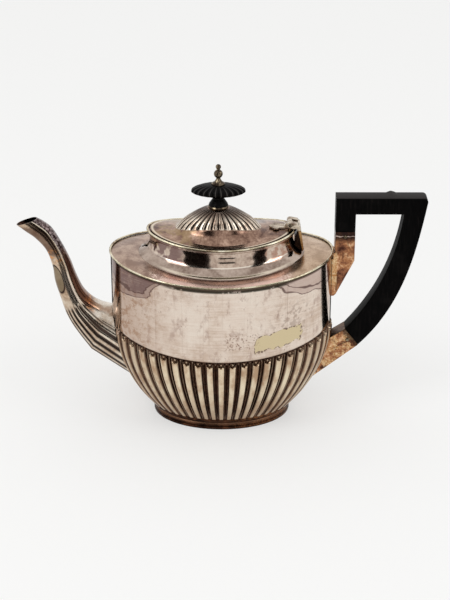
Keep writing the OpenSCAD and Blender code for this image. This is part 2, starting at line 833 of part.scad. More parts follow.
handle_in = body_a + handle_gap;
handle_out = handle_in + handle_reach;
handle_top = shoulder_z + handle_rise;
upper_joint = shoulder_z + joint_rise;
leg_out = handle_in + handle_leg;
bar_low = handle_top - handle_bar;
corner_drop = 3;        // height of the rounded outer corner
corner_wid = 15.7;      // width of the bar's outer end, where the curve sets off
// the two ends of the joint where the wood enters the lower socket
lower_inner = [handle_in + joint_out, bowl_top - joint_drop];
lower_outer = lower_inner + [joint_run, -joint_fall];
// each edge of the curve sets off downwards from the bar and is drawn in towards the lower socket
outer_from = [handle_out, handle_top - corner_drop];
outer_curve = [outer_from, outer_from + [-6.3, -37.9], outer_from + [-14.3, -75.9], lower_outer];
inner_from = [handle_out - corner_wid, bar_low];
inner_curve = [inner_from, inner_from + [-3.6, -31.3], inner_from + [-15.1, -59.3], lower_inner];
lower_dir = (lower_inner - lower_outer) / norm(lower_inner - lower_outer);
lower_in = [-lower_dir[1], lower_dir[0]];   // points along the handle into the lower socket
lower_wid = norm(lower_inner - lower_outer);
tenon_inset = socket_wall + seam;

module handle_outline() {
    polygon(concat(
        [[handle_in, upper_joint], [handle_in, handle_top]],
        [
            [handle_out - corner_drop, handle_top],
            [handle_out - 0.3 * corner_drop, handle_top - 0.3 * corner_drop]
        ],
        curve(outer_curve),
        reversed(curve(inner_curve)),
        [[leg_out, bar_low], [leg_out, upper_joint]]
    ));
}

module handle_grip() {
    tenon_t = handle_t - 2 * tenon_inset;
    color(ebony)
    difference() {
        union() {
            slab(-handle_t / 2, handle_t) handle_outline();
            slab(-tenon_t / 2, tenon_t) {
                translate([handle_in + tenon_inset, upper_joint - tenon_len])
                    square([handle_leg - 2 * tenon_inset, tenon_len + over]);
                polygon([
                    lower_outer + lower_dir * tenon_inset - lower_in * over,
                    lower_inner - lower_dir * tenon_inset - lower_in * over,
                    lower_inner - lower_dir * tenon_inset + lower_in * tenon_len,
                    lower_outer + lower_dir * tenon_inset + lower_in * tenon_len
                ]);
            }
        }
        pin_holes(pin_fit);
    }
}

pin_depth = 3.6;        // depth of each pin below its joint
upper_pin_at = [handle_in + handle_leg / 2, upper_joint - pin_depth];
lower_pin_at = (lower_inner + lower_outer) / 2 + lower_in * pin_depth;
module pin_hole(at, clearance) {
    translate([at[0], handle_t, at[1]])
        rotate([90, 0, 0]) cylinder(r = handle_pin_r + clearance, h = 2 * handle_t);
}

module pin_holes(clearance) {
    pin_hole(upper_pin_at, clearance);
    pin_hole(lower_pin_at, clearance);
}

module handle_pin(at) {
    reach = handle_t + 0.6;
    color(silver)
    translate([at[0], reach / 2, at[1]]) rotate([90, 0, 0]) cylinder(r = handle_pin_r, h = reach);
}

module upper_pin() {
    handle_pin(upper_pin_at);
}

module lower_pin() {
    handle_pin(lower_pin_at);
}

// The upper socket stands against the pot's end wall and clears the rim wire
socket_low = shoulder_z - socket_drop;
diagonal_top = shoulder_z - diagonal_drop;
foot_lap = 3;           // how far the socket's blank reaches into the end wall before it is cut to fit
module upper_socket() {
    color(copper)
    difference() {
        slab(-handle_t / 2, handle_t)
            polygon([
                [handle_in, upper_joint - seam],
                [leg_out, upper_joint - seam],
                [leg_out, diagonal_top],
                [handle_in + 1.4, socket_low + 1.4],
                [handle_in, socket_low],
                [body_a - foot_lap, socket_low],
                [body_a - foot_lap, shoulder_z],
                [handle_in, shoulder_z]
            ]);
        translate([handle_in + socket_wall, -handle_t / 2 + socket_wall, upper_joint - tenon_len - seam])
            cube([handle_leg - 2 * socket_wall, handle_t - 2 * socket_wall, tenon_len + over]);
        translate([0, 0, socket_low - over])
            linear_extrude(wall_top - socket_low + over)
                scale([body_a + root_gap, body_b + root_gap]) circle(1);
        translate([0, 0, wall_top - rim_dip / 2])
            linear_extrude(rim_ring[2] + rim_wire_r)
                scale([body_a + rim_out + root_gap, body_b + rim_out + root_gap]) circle(1);
        pin_hole(upper_pin_at, pin_fit);
    }
}

// The lower socket spreads from the wood to the bowl
lower_seat_low = foot_h + seat_rise;
lower_seat_top = lower_seat_low + seat_h;
seat_steps = 6;
module lower_socket() {
    seat = [
        for (i = [0 : seat_steps])
            let (z = lower_seat_low + (lower_seat_top - lower_seat_low) * i / seat_steps)
                [wall_a(z) + root_gap, z]
    ];
    color(copper)
    difference() {
        slab(-handle_t / 2, handle_t)
            polygon(concat([lower_outer + lower_in * seam], seat, [lower_inner + lower_in * seam]));
        slab(-handle_t / 2 + socket_wall, handle_t - 2 * socket_wall)
            polygon([
                lower_outer + lower_dir * socket_wall - lower_in * over,
                lower_inner - lower_dir * socket_wall - lower_in * over,
                lower_inner - lower_dir * socket_wall + lower_in * (tenon_len + seam),
                lower_outer + lower_dir * socket_wall + lower_in * (tenon_len + seam)
            ]);
        pin_hole(lower_pin_at, pin_fit);
    }
}

foot_ring();
base_plate();
body_shell();
shoulder_plate();
rim_wire();
collar();
mouth_wire();
spout_left();
spout_right();
hinge_bracket();
hinge_leaf();
hinge_pin();
lid_shell();
lid_bezel();
finial_washer();
finial_button();
finial_cap();
finial_stud();
finial_nut();
handle_grip();
upper_socket();
lower_socket();
upper_pin();
lower_pin();
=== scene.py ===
"""Looks for a half-fluted oval teapot of worn silver plate with an ebonised wood handle.

Each lofted piece is laid out again here as a finer mesh from the frame's sizes, in millimetres.
Turned, flat and joined pieces keep their frame mesh, with a material and, on some, softened edges.
"""

import math

import bpy
import numpy as np
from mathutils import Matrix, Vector

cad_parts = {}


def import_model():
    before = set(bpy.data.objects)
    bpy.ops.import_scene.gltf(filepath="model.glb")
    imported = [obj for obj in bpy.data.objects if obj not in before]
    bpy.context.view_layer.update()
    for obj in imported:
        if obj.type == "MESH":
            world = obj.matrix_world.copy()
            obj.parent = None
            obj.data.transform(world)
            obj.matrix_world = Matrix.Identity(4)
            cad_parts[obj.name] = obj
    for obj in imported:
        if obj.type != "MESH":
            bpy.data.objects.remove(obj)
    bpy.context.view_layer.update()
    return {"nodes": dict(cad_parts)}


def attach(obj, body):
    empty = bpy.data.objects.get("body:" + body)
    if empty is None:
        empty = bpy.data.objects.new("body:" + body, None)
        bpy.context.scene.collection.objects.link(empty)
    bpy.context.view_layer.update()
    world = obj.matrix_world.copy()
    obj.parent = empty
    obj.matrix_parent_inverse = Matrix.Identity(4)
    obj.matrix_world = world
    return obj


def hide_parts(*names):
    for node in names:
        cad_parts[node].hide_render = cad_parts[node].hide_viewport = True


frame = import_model()

# ---- Sizes in millimetres, as in the frame ----

MM = 0.001
BODY_A, BODY_B = 75, 52.2
WALL_TOP = 118.4
RIM_DIP = 6.2
SHEET = 1
SEAM = 0.05
BOWL_TOP = 66
BOWL_FOOT_A, BOWL_FOOT_B = 49.5, 36
BOWL_FULLNESS = 1.85
FOOT_H = 8.5
FOOT_A, FOOT_B = 47, 34.8
FOOT_BAND = 4.4
FLUTES = 50
FLUTE_LINE, FLUTE_DIP = 69.5, 10
FLUTE_CREST, FLUTE_GROOVE = 1.3, 0.9
RIM_WIRE_R, MOUTH_WIRE_R = 0.7, 0.8
RIM_OUT = 0.85
COLLAR_A, COLLAR_B = 56, 40.2
COLLAR_H = 15.2
MOUTH_A, MOUTH_B = 46.8, 26
NECK_DIP = 5.1
LIP = 2.8
HOLE_IN = 1.8
CROWN = 0.7
SHOULDER_Z = WALL_TOP + SEAM + SHEET
COLLAR_TOP = SHOULDER_Z + COLLAR_H
WAIST_A, WAIST_B = MOUTH_A + 1.3, MOUTH_B + 2.9
SPOUT_TIP_W, SPOUT_ROOT_W = 4.6, 15.5
SPOUT_WALL = 1.1
SPOUT_ROOT = (78, 26.5)
SPOUT_FLUTES, SPOUT_FLUTE_H = 7, 0.9
SEAT_GAP = 0.5
LID_GAP = 1
DOME_H = 14.6
DOME_SHIFT = 2
LID_FLUTES, LID_FLUTE_H = 32, 0.8
LID_A = MOUTH_A + LIP - MOUTH_WIRE_R - LID_GAP
LID_B = MOUTH_B + LIP - MOUTH_WIRE_R - LID_GAP
LID_LOW = COLLAR_TOP + SEAT_GAP
LID_TOP = LID_LOW + SHEET
DOME_TOP = LID_TOP + DOME_H
BEZEL_GAP, BEZEL_H, BEZEL_DROP = 1.6, 4, 0.15
BORE_R = 1.53
WASHER_R, WASHER_H = 7, 1.4
BUTTON_LEN, BUTTON_WID, BUTTON_H = 36.2, 20, 14.6
BUTTON_LOBES, BUTTON_NOTCH = 24, 0.8
BUTTON_Z = DOME_TOP + WASHER_H + 2 * SEAM
HANDLE_T = 12.4
HANDLE_IN = BODY_A + 1.3
HANDLE_OUT = HANDLE_IN + 61
HANDLE_TOP = SHOULDER_Z + 39.5
HANDLE_LEG, HANDLE_BAR = 13.3, 11.6
HANDLE_CORNER, HANDLE_EDGE = 3, 0.7
CORNER_WID = 15.7
OUTER_BEND = np.array([[-6.3, -37.9], [-14.3, -75.9]])
INNER_BEND = np.array([[-3.6, -31.3], [-15.1, -59.3]])
# a chip of raised grain on the handle's top: places along X and how far each is raised
CHIP = ((110, 0), (113, 1.2), (115, 0.7), (116.6, 0))
UPPER_JOINT = SHOULDER_Z + 15.5
LOWER_INNER = np.array([HANDLE_IN + 8.6, BOWL_TOP - 3])
LOWER_OUTER = LOWER_INNER + np.array([9.3, -12.1])
ROOT_GAP = 0.15
RING_STEPS, PLAIN_STEPS = 360, 240


# ---- Ovals and meshes ----

EVEN_K = 0.5 * (BODY_A - BODY_B) / (BODY_A + BODY_B)


def even(share):
    """The angle at a share of the way round an oval, spaced evenly along it."""
    s = 2 * math.pi * np.asarray(share, float)
    return s + EVEN_K * np.sin(2 * s)


def ramp(v, low, high):
    """0 below low, 1 above high, smooth between; turned round when low is the larger."""
    s = np.clip((v - low) / (high - low), 0, 1)
    return s * s * (3 - 2 * s)


def across_flutes(share, count):
    """The place across a flute, -1 to 1, at a share of the way over all of them."""
    return share * count % 1 * 2 - 1


def fluted_round(flutes, per_flute):
    """The columns of a fluted oval: their number, angles and places across a flute."""
    columns = flutes * per_flute
    share = np.arange(columns) / columns
    return columns, even(share)[:, None], across_flutes(share, flutes)[:, None]


def joined(*parts):
    """Arrays [column, row] put together row after row."""
    return np.concatenate(parts, axis=1)


def half_round(across):
    """Height of a half-round moulding: 1 in the middle and 0 at both edges."""
    return np.sqrt(np.clip(1 - across ** 2, 0, 1))


def spread(rings, columns):
    """The numbers of each ring as arrays [column, ring], one for each kind of number."""
    r = np.asarray(rings, float)
    return np.broadcast_to(r.T[:, None], (r.shape[1], columns, len(r)))


def oval(rings, columns):
    """Points [column, ring, xyz] of rings given as half length, half width, height, dip."""
    a, b, z, dip = spread(rings, columns)
    t = even(np.arange(columns) / columns)[:, None]
    return np.stack([a * np.cos(t), b * np.sin(t), z - dip * np.sin(t) ** 2], axis=2)


def curve(points, steps):
    """A smooth line through the points, with some steps between each pair."""
    p = np.asarray(points, float)
    p = np.concatenate([2 * p[:1] - p[1:2], p, 2 * p[-1:] - p[-2:-1]])
    out = []
    for i in range(1, len(p) - 2):
        for s in np.arange(steps) / steps:
            out.append(0.5 * (
                2 * p[i] + (p[i + 1] - p[i - 1]) * s
                + (2 * p[i - 1] - 5 * p[i] + 4 * p[i + 1] - p[i + 2]) * s ** 2
                + (3 * p[i] - p[i - 1] - 3 * p[i + 1] + p[i + 2]) * s ** 3
            ))
    return np.array([*out, p[-2]])


def chain(*parts):
    """Smooth stretches one after another, with a corner where they meet."""
    out = []
    for part in parts:
        points = curve(part, 6) if len(part) > 2 else np.asarray(part, float)
        out.extend(points if not out else points[1:] if np.allclose(out[-1], points[0]) else points)
    return np.array(out)


def placed(name, data):
    thing = bpy.data.objects.new(name, data)
    bpy.context.scene.collection.objects.link(thing)
    return thing


def mesh_piece(name, points, faces, material, values=None, sharp=50):
    """A mesh object from points in millimetres; values are named numbers stored at its points."""
    mesh = bpy.data.meshes.new(name)
    mesh.from_pydata((np.asarray(points).reshape(-1, 3) * MM).tolist(), [], faces)
    mesh.update()
    mesh.shade_smooth()
    mesh.set_sharp_from_angle(angle=math.radians(sharp))
    for key, numbers in (values or {}).items():
        layer = mesh.attributes.new(key, "FLOAT", "POINT")
        layer.data.foreach_set("value", np.asarray(numbers, np.float32).ravel())
    mesh.materials.append(material)
    return placed(name, mesh)


def loft_faces(columns, rows, wrap=True):
    """Faces between neighbouring columns, each a closed loop of rows."""
    faces = []
    for i in range(columns if wrap else columns - 1):
        k = (i + 1) % columns
        for j in range(rows):
            n = (j + 1) % rows
            faces.append((i * rows + j, i * rows + n, k * rows + n, k * rows + j)[::-1])
    return faces


def loft(name, points, material, values=None):
    """A ring-shaped solid from points [column, row, xyz]."""
    return mesh_piece(name, points, loft_faces(*points.shape[:2]), material, values)


def stands_for(piece, body, slot, *nodes):
    """Sets a piece in place of nodes of the frame, on their body. The slot is not used."""
    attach(piece, body)
    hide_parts(*nodes)


# ---- Materials ----

def rgb(*levels):
    """An 8-bit display colour as the linear colour a shader takes."""
    shares = [level / 255 for level in levels]
    return (*(c / 12.92 if c <= 0.04045 else ((c + 0.055) / 1.055) ** 2.4 for c in shares), 1)


class Surface:
    """A principled material built up in coats of paint. Lengths are in millimetres, colours in 8 bits."""

    def __init__(self, name, metallic):
        self.material = bpy.data.materials.new(name)
        self.material.use_nodes = True
        self.tree = self.material.node_tree
        self.shader = self.tree.nodes["Principled BSDF"]
        self.shader.inputs["Metallic"].default_value = metallic
        coords = self.tree.nodes.new("ShaderNodeTexCoord")
        self.place = self.vector("MULTIPLY", coords.outputs["Object"], (1 / MM,) * 3)
        self.xyz = None
        self.colour = None

    def add(self, kind, inputs=(), output=0, **settings):
        """A new node's output. Its inputs are links, plain values, or None to stay as they are."""
        node = self.tree.nodes.new(kind)
        for key, value in settings.items():
            setattr(node, key, value)
        keyed = inputs.items() if isinstance(inputs, dict) else enumerate(inputs)
        for key, value in keyed:
            if isinstance(value, bpy.types.NodeSocket):
                self.tree.links.new(value, node.inputs[key])
            elif value is not None:
                node.inputs[key].default_value = value
        return node.outputs[output]

    def vector(self, operation, a, b):
        return self.add("ShaderNodeVectorMath", [a, b], operation=operation)

    def math(self, operation, a, b=None, c=None, clamp=False):
        return self.add("ShaderNodeMath", [a, b, c], operation=operation, use_clamp=clamp)

    def axis(self, letter):
        """The place along X, Y or Z in the part's frame."""
        if self.xyz is None:
            self.xyz = self.add("ShaderNodeSeparateXYZ", [self.place]).node
        return self.xyz.outputs[letter]

    def value(self, name):
        """A named number stored at the mesh's points."""
        return self.add("ShaderNodeAttribute", output=2, attribute_name=name)

    def noise(self, size, detail=4, stretch=(1, 1, 1), roughness=0.55, distortion=0, seed=0.0):
        """Noise whose blotches are about size across, drawn out along an axis by stretch."""
        place = self.vector("MULTIPLY", self.place, tuple(1 / (size * s) for s in stretch))
        place = self.vector("ADD", place, (seed, seed * 0.7, -seed))
        return self.add("ShaderNodeTexNoise", {
            "Vector": place, "Scale": 1, "Detail": detail, "Roughness": roughness, "Distortion": distortion,
        })

    def band(self, value, low, high):
        """0 where value is below low and 1 above high; turned round when low is the larger."""
        return self.add("ShaderNodeMapRange", [value, low, high, 0, 1], interpolation_type="SMOOTHSTEP")

    def spots(self, low, high, size, detail=4, **more):
        """Noise taken to 0 below low and to 1 above high."""
        return self.band(self.noise(size, detail, **more), low, high)

    def total(self, *terms):
        """The sum of (value, weight) pairs."""
        out = self.math("MULTIPLY", *terms[0])
        for value, weight in terms[1:]:
            out = self.math("MULTIPLY_ADD", value, weight, out)
        return out

    def away(self, value, middle):
        """How far a value is from a middle one."""
        return self.math("ABSOLUTE", self.math("SUBTRACT", value, middle))

    def both(self, *shares):
        """The product of some shares."""
        out = shares[0]
        for share in shares[1:]:
            out = self.math("MULTIPLY", out, share)
        return out

    def within(self, value, low, high, soft):
        """1 from low to high and 0 outside, with soft ends."""
        return self.both(self.band(value, low - soft, low + soft), self.band(value, high + soft, high - soft))

    def span(self, value, low, high):
        """A 0 to 1 value turned into one from low to high."""
        return self.add("ShaderNodeMapRange", [value, 0, 1, low, high])

    def colours(self, value, *stops):
        """A colour ramp. Its stops are places on it, each followed by a colour."""
        out = self.add("ShaderNodeValToRGB", [value])
        elements = out.node.color_ramp.elements
        for _ in stops[4::2]:
            elements.new(0.5)
        for stop, place, colour in zip(elements, stops[::2], stops[1::2]):
            stop.position = place
            stop.color = rgb(*colour)
        return out

    def blend(self, share, under, over):
        """One colour where share is 0 and another one where it is 1."""
        under, over = (rgb(*colour) if isinstance(colour, tuple) else colour for colour in (under, over))
        return self.add("ShaderNodeMix", {0: share, 6: under, 7: over}, 2, data_type="RGBA")

    def paint(self, colour, strength, *masks):
        """Lays a colour over the present one, at some strength where the masks are 1."""
        self.colour = self.blend(self.math("MULTIPLY", self.both(*masks), strength), self.colour, colour)

    def finish(self, roughness, height, depth):
        """Joins up the shader and returns the material; depth is the bump's height."""
        bump = self.add("ShaderNodeBump", {"Strength": 0.6, "Distance": depth * MM, "Height": height})
        for name, value in (("Base Color", self.colour), ("Roughness", roughness), ("Normal", bump)):
            self.tree.links.new(value, self.shader.inputs[name])
        return self.material


BROWN = (132, 100, 84)
PLUM = (84, 58, 54)
SOOT_AND_SHADE = (36, 25, 21)

# Places of the stains in millimetres, and at last across the spout's side: 0 at its ridge, 1 underneath
FRONT_Y = (-20, -24)
PATCH_X, PATCH_Z = (23, 53), (67, 78.5)
TRAIL_X, TRAIL_Z = (3, 24), (69, 81)
SMUDGES_X, SMUDGES_Z = (34, 58), (76, 98)
WALL_SEAMS_X = (-43.5, 43.7)
SPOUT_DARK_Z, SPOUT_GOLDEN_Z = (117, 137), (112, 121)
SPOUT_OVAL_Z, SPOUT_OVAL_HALF = 100, 9.5
SPOUT_OVAL_SIDE, SPOUT_OVAL_WIDTH = 0.62, 0.30


def clouded(name, size, seed):
    """A metal surface with a blend of its cloudy and its fine noise, and the fine one by itself."""
    s = Surface(name, 1)
    clouds = s.noise(size, 5, roughness=0.6, distortion=0.4, seed=seed)
    fine = s.noise(size / 7, 5, roughness=0.65, seed=seed + 3)
    return s, s.total((clouds, 0.7), (fine, 0.3)), fine


def aged_silver(name, clear, cloudy, tarnished, size, seed, shaded_underside=None):
    """Silver plate clouded by tarnish, with pits and scratches, and painted shade in its own colour on the
    underside.
    """
    s, mixed, fine = clouded(name, size, seed)
    s.colour = s.colours(mixed, 0.38, clear, 0.50, cloudy, 0.64, tarnished)
    s.paint(BROWN, 0.7, s.spots(0.69, 0.76, 1.6, 2, seed=seed + 7))
    # painted shade on the underside
    if shaded_underside:
        s.paint(shaded_underside, 0.9, s.value("low"))
    scratches = s.noise(0.5, 2, stretch=(14, 1, 1), seed=seed)
    return s.finish(s.span(mixed, 0.12, 0.30), s.total((fine, 0.6), (scratches, 0.4)), 0.03)


def paint_wall(s, mixed, fine):
    """Brushed beige silver, rusty near the spout, with a worn patch, a painted mauve reflection under the rim
    at both ends, and painted shade under the rim.
    """
    x, z, under = s.axis("X"), s.axis("Z"), s.value("under")
    front = s.band(s.axis("Y"), *FRONT_Y)
    s.colour = s.colours(mixed, 0.38, (231, 219, 206), 0.50, (224, 208, 194), 0.60, (204, 183, 166))
    bruises = s.spots(0.52, 0.66, 9, 5, stretch=(0.8, 0.8, 1.4), roughness=0.7, seed=63)
    s.paint((166, 140, 128), 0.55, bruises)
    s.paint((184, 162, 146), 0.20, s.spots(0.55, 0.68, 2.2, 2, stretch=(1, 1, 40), seed=77))
    near_spout = s.band(x, -26, -70)
    s.paint((176, 148, 130), 0.7, near_spout)
    rust = s.spots(0.47, 0.60, 5, 5, roughness=0.75, seed=21)
    s.paint((150, 110, 78), 0.75, near_spout, rust)
    pits = s.spots(0.66, 0.71, 1.7, 3, stretch=(1, 1, 1.8), seed=5)
    s.paint(BROWN, 0.75, pits, s.spots(0.46, 0.58, 20, 2, seed=31))
    # painted reflection: mauve under the rim at both ends, tapering to the middle, with wavy dark contours
    reach = s.total((s.band(x, -33, -58), 17), (s.band(x, 24, 58), 13))
    wave = s.noise(17, 3, stretch=(1.6, 1.6, 0.7), roughness=0.45, distortion=0.6, seed=33)
    inside = s.math("ADD", s.total((reach, 1), (under, -1), (wave, -22)), 10)
    reached = s.band(reach, 0.3, 2)
    painted_reflection_mauve = s.blend(s.band(x, 0, 1), (142, 116, 108), (184, 160, 150))
    s.paint(painted_reflection_mauve, 0.65, s.band(inside, 0, 0.5), reached)
    deeper_painted_reflection = s.both(s.band(inside, 5, 5.6), s.band(x, -30, -46), s.band(mixed, 0.40, 0.52))
    s.paint((104, 80, 80), 0.7, deeper_painted_reflection)
    for contour in (0, 5):
        s.paint(PLUM, 0.8, s.band(s.away(inside, contour), 0.8, 0.3), reached)
    smudges = s.both(s.within(x, *SMUDGES_X, 5), s.within(z, *SMUDGES_Z, 5))
    s.paint((150, 128, 116), 0.5, smudges, s.spots(0.50, 0.60, 3.5, 4, seed=27))
    for seam_x in WALL_SEAMS_X:
        s.paint(BROWN, 0.45, s.within(x, seam_x - 0.12, seam_x + 0.12, 0.12))
    # the worn patch and a pitted trail beside it
    ragged_x = s.math("MULTIPLY_ADD", s.noise(5, 4, seed=51), 12, s.math("ADD", x, -6))
    ragged_z = s.math("MULTIPLY_ADD", s.noise(6, 4, seed=57), 9, s.math("MULTIPLY_ADD", x, -0.16, z))
    patch = s.both(s.within(ragged_x, *PATCH_X, 0.8), s.within(ragged_z, *PATCH_Z, 0.8), front)
    s.paint((210, 193, 157), 1, patch)
    ticks = s.both(patch, s.band(patch, 0.98, 0.4), s.spots(0.46, 0.54, 2, 3, seed=61))
    s.paint(PLUM, 0.9, s.math("MULTIPLY", ticks, 3, clamp=True))
    trail = s.both(s.within(x, *TRAIL_X, 3), s.within(z, *TRAIL_Z, 2), front)
    s.paint(BROWN, 0.75, trail, s.spots(0.55, 0.61, 1.3, 3, seed=66))
    # painted shade: the dark line under the rim, broadest at the front
    s.paint(PLUM, 0.75, s.band(under, 1.1, 0.5))
    broad = s.both(s.band(under, 2.2, 1.2), s.within(x, -36, 44, 8), s.band(fine, 0.66, 0.56))
    s.paint((40, 37, 24), 0.92, broad)


def body_silver():
    """The body's wall, and the bowl's pale flutes with dark grooves and painted shade towards the foot."""
    s, mixed, fine = clouded("body_silver", 26, 2)
    brushed = s.noise(0.8, 3, stretch=(30, 30, 1), roughness=0.7, seed=17)
    paint_wall(s, s.total((mixed, 0.72), (brushed, 0.28)), fine)
    wall = s.colour
    patches = s.total((mixed, 0.5), (s.noise(5, 4, stretch=(1, 1, 3), seed=71), 0.5))
    s.colour = s.colours(patches, 0.38, (238, 224, 196), 0.50, (220, 200, 172), 0.60, (182, 152, 124))
    # painted shade: darker towards the foot; then a browner tone towards both ends
    s.paint((150, 116, 88), 0.55, s.band(s.axis("Z"), 38, 12))
    s.paint((150, 118, 94), 0.5, s.band(s.away(s.axis("X"), 0), 40, 70))
    s.paint(s.colours(fine, 0.35, (54, 38, 31), 0.65, (98, 71, 56)), 1, s.value("dark"))
    s.colour = s.blend(s.value("fluted"), wall, s.colour)
    rough = s.math("MULTIPLY_ADD", s.value("fluted"), 0.08, s.span(mixed, 0.05, 0.17))
    return s.finish(rough, s.total((fine, 0.8), (brushed, 0.5)), 0.02)


def shoulder_silver():
    """The shoulder: rose in front, grey by the spout, golden by the handle, with painted glints between and
    painted shade at its edge under the rim wire.
    """
    s, mixed, fine = clouded("shoulder_silver", 9, 4)
    x, out = s.axis("X"), s.value("out")
    s.colour = s.colours(mixed, 0.41, (210, 186, 166), 0.50, (172, 146, 130), 0.57, (116, 89, 78))
    s.paint((158, 133, 118), 0.6, s.band(x, -24, -58))
    s.paint((190, 162, 132), 0.6, s.band(x, 26, 58))
    s.paint((236, 200, 186), 0.8, s.within(x, -40, 42, 9), s.band(out, 0.05, 0.2))
    # painted glints: bright sparkles on the front near both ends
    patches = s.math("MAXIMUM", s.within(x, -46, -36, 3), s.within(x, 38, 46, 3))
    patches = s.both(patches, s.band(s.axis("Y"), -22, -30))
    s.paint((240, 212, 198), 0.9, s.spots(0.50, 0.58, 1.3, 3, seed=83), patches)
    # painted shade along the outer edge, under the rim wire
    s.paint((44, 38, 26), 0.9, s.band(out, 0.975, 0.995))
    return s.finish(s.span(mixed, 0.20, 0.36), fine, 0.04)


def collar_silver():
    """The collar: a pale foot band, mirror-like silver with plum and golden stains above, painted highlight
    lines and painted shade at its foot in front, and painted shade by the hinge.
    """
    s, mixed, fine = clouded("collar_silver", 13, 11)
    x, up = s.axis("X"), s.value("up")
    s.colour = s.colours(mixed, 0.36, (216, 199, 183), 0.50, (186, 166, 150), 0.62, (128, 103, 92))
    s.paint(s.colours(mixed, 0.38, (180, 162, 150), 0.60, (130, 112, 100)), 0.8, s.band(up, 5.2, 4.4))
    stains = s.both(s.band(up, 3, 5.5), s.spots(0.45, 0.55, 7, 4, seed=91))
    s.paint((112, 86, 84), 0.85, stains, s.band(x, -18, -30))
    s.paint((164, 124, 106), 0.8, stains, s.band(x, 20, 30))
    # painted shade on the top of the collar beside the hinge
    hinge_shade = s.both(s.band(x, 46.3, 47.6), s.band(s.away(s.axis("Y"), 0), 16, 13))
    s.paint(SOOT_AND_SHADE, 0.92, hinge_shade, s.band(up, 4.6, 6))
    # painted highlights: two bright lines across the front; painted shade at the collar's foot in front
    front = s.within(x, -40, 44, 8)
    s.paint((238, 228, 214), 0.8, front, s.within(up, 4.5, 5.1, 0.25))
    s.paint((234, 220, 200), 0.7, front, s.within(up, 0.5, 1.2, 0.25))
    s.paint(PLUM, 0.7, front, s.band(up, 0.45, 0.2))
    return s.finish(s.span(mixed, 0.05, 0.14), fine, 0.012)


def lid_silver():
    """The lid: a rose and brown edge with a painted highlight along its bead, under strongly shaded flutes,
    darker towards the top.
    """
    s, mixed, fine = clouded("lid_silver", 10, 17)
    s.colour = s.colours(mixed, 0.38, (232, 220, 204), 0.50, (200, 184, 166), 0.62, (142, 120, 104))
    s.paint((74, 59, 52), 0.9, s.value("top"))
    s.paint(SOOT_AND_SHADE, 1, s.value("dark"))
    edge = s.colours(mixed, 0.38, (186, 156, 137), 0.50, (140, 111, 95), 0.62, (90, 65, 57))
    s.colour = s.blend(s.value("fluted"), edge, s.colour)
    olive = s.both(s.band(s.axis("X"), -8, -26), s.spots(0.46, 0.56, 6, 4, seed=95))
    s.paint((156, 132, 96), 0.6, olive, s.band(s.value("fluted"), 0.2, 0))
    # painted highlight along the edge bead
    s.paint((236, 222, 200), 0.9, s.value("bead"))
    return s.finish(s.span(mixed, 0.10, 0.24), fine, 0.03)


def spout_silver():
    """The spout: speckled plum on top, a painted highlight along the ridge, golden and beige facets and
    strongly shaded flutes.
    """
    s, mixed, fine = clouded("spout_silver", 12, 29)
    x, z, side = s.axis("X"), s.axis("Z"), s.value("side")
    golden = s.spots(0.46, 0.58, 2.6, 4, seed=88)
    s.colour = s.colours(mixed, 0.38, (222, 200, 176), 0.50, (180, 154, 130), 0.62, (120, 94, 78))
    s.paint((98, 74, 62), 0.8, s.within(z, *SPOUT_DARK_Z, 1.5))
    s.paint((206, 144, 88), 0.85, golden, s.within(z, *SPOUT_GOLDEN_Z, 2))
    # an oval stain with a dark outline
    oval_z = s.math("DIVIDE", s.math("SUBTRACT", z, SPOUT_OVAL_Z), SPOUT_OVAL_HALF)
    oval_side = s.math("DIVIDE", s.math("SUBTRACT", side, SPOUT_OVAL_SIDE), SPOUT_OVAL_WIDTH)
    olive = s.band(s.math("ADD", s.math("POWER", oval_z, 2), s.math("POWER", oval_side, 2)), 1.35, 0.75)
    s.paint((120, 106, 84), 0.8, olive)
    s.paint((60, 45, 38), 2.6, olive, s.band(olive, 0.98, 0.6))
    s.paint((224, 206, 190), 0.85, s.band(z, 110, 102), s.band(side, 0.34, 0.28))
    s.paint(s.colours(mixed, 0.40, (236, 226, 208), 0.60, (196, 172, 148)), 0.85, s.band(z, 88, 83))
    facet = s.colour
    s.colour = s.blend(s.band(fine, 0.40, 0.58), (146, 132, 130), (62, 48, 48))
    s.paint((134, 106, 92), 0.8, s.band(z, 124, 114))
    s.paint((190, 140, 98), 0.85, golden, s.band(x, -96, -90))
    s.paint(s.colours(mixed, 0.40, (230, 222, 210), 0.60, (180, 164, 146)), 0.9, s.band(x, -90, -84))
    s.colour = s.blend(s.value("upper"), facet, s.colour)
    s.paint(s.colours(fine, 0.35, (26, 18, 15), 0.65, (56, 38, 32)), 1, s.value("dark"))
    # painted highlight along the ridge
    s.paint((240, 228, 204), 0.95, s.value("ridge"))
    return s.finish(s.span(mixed, 0.10, 0.26), fine, 0.03)


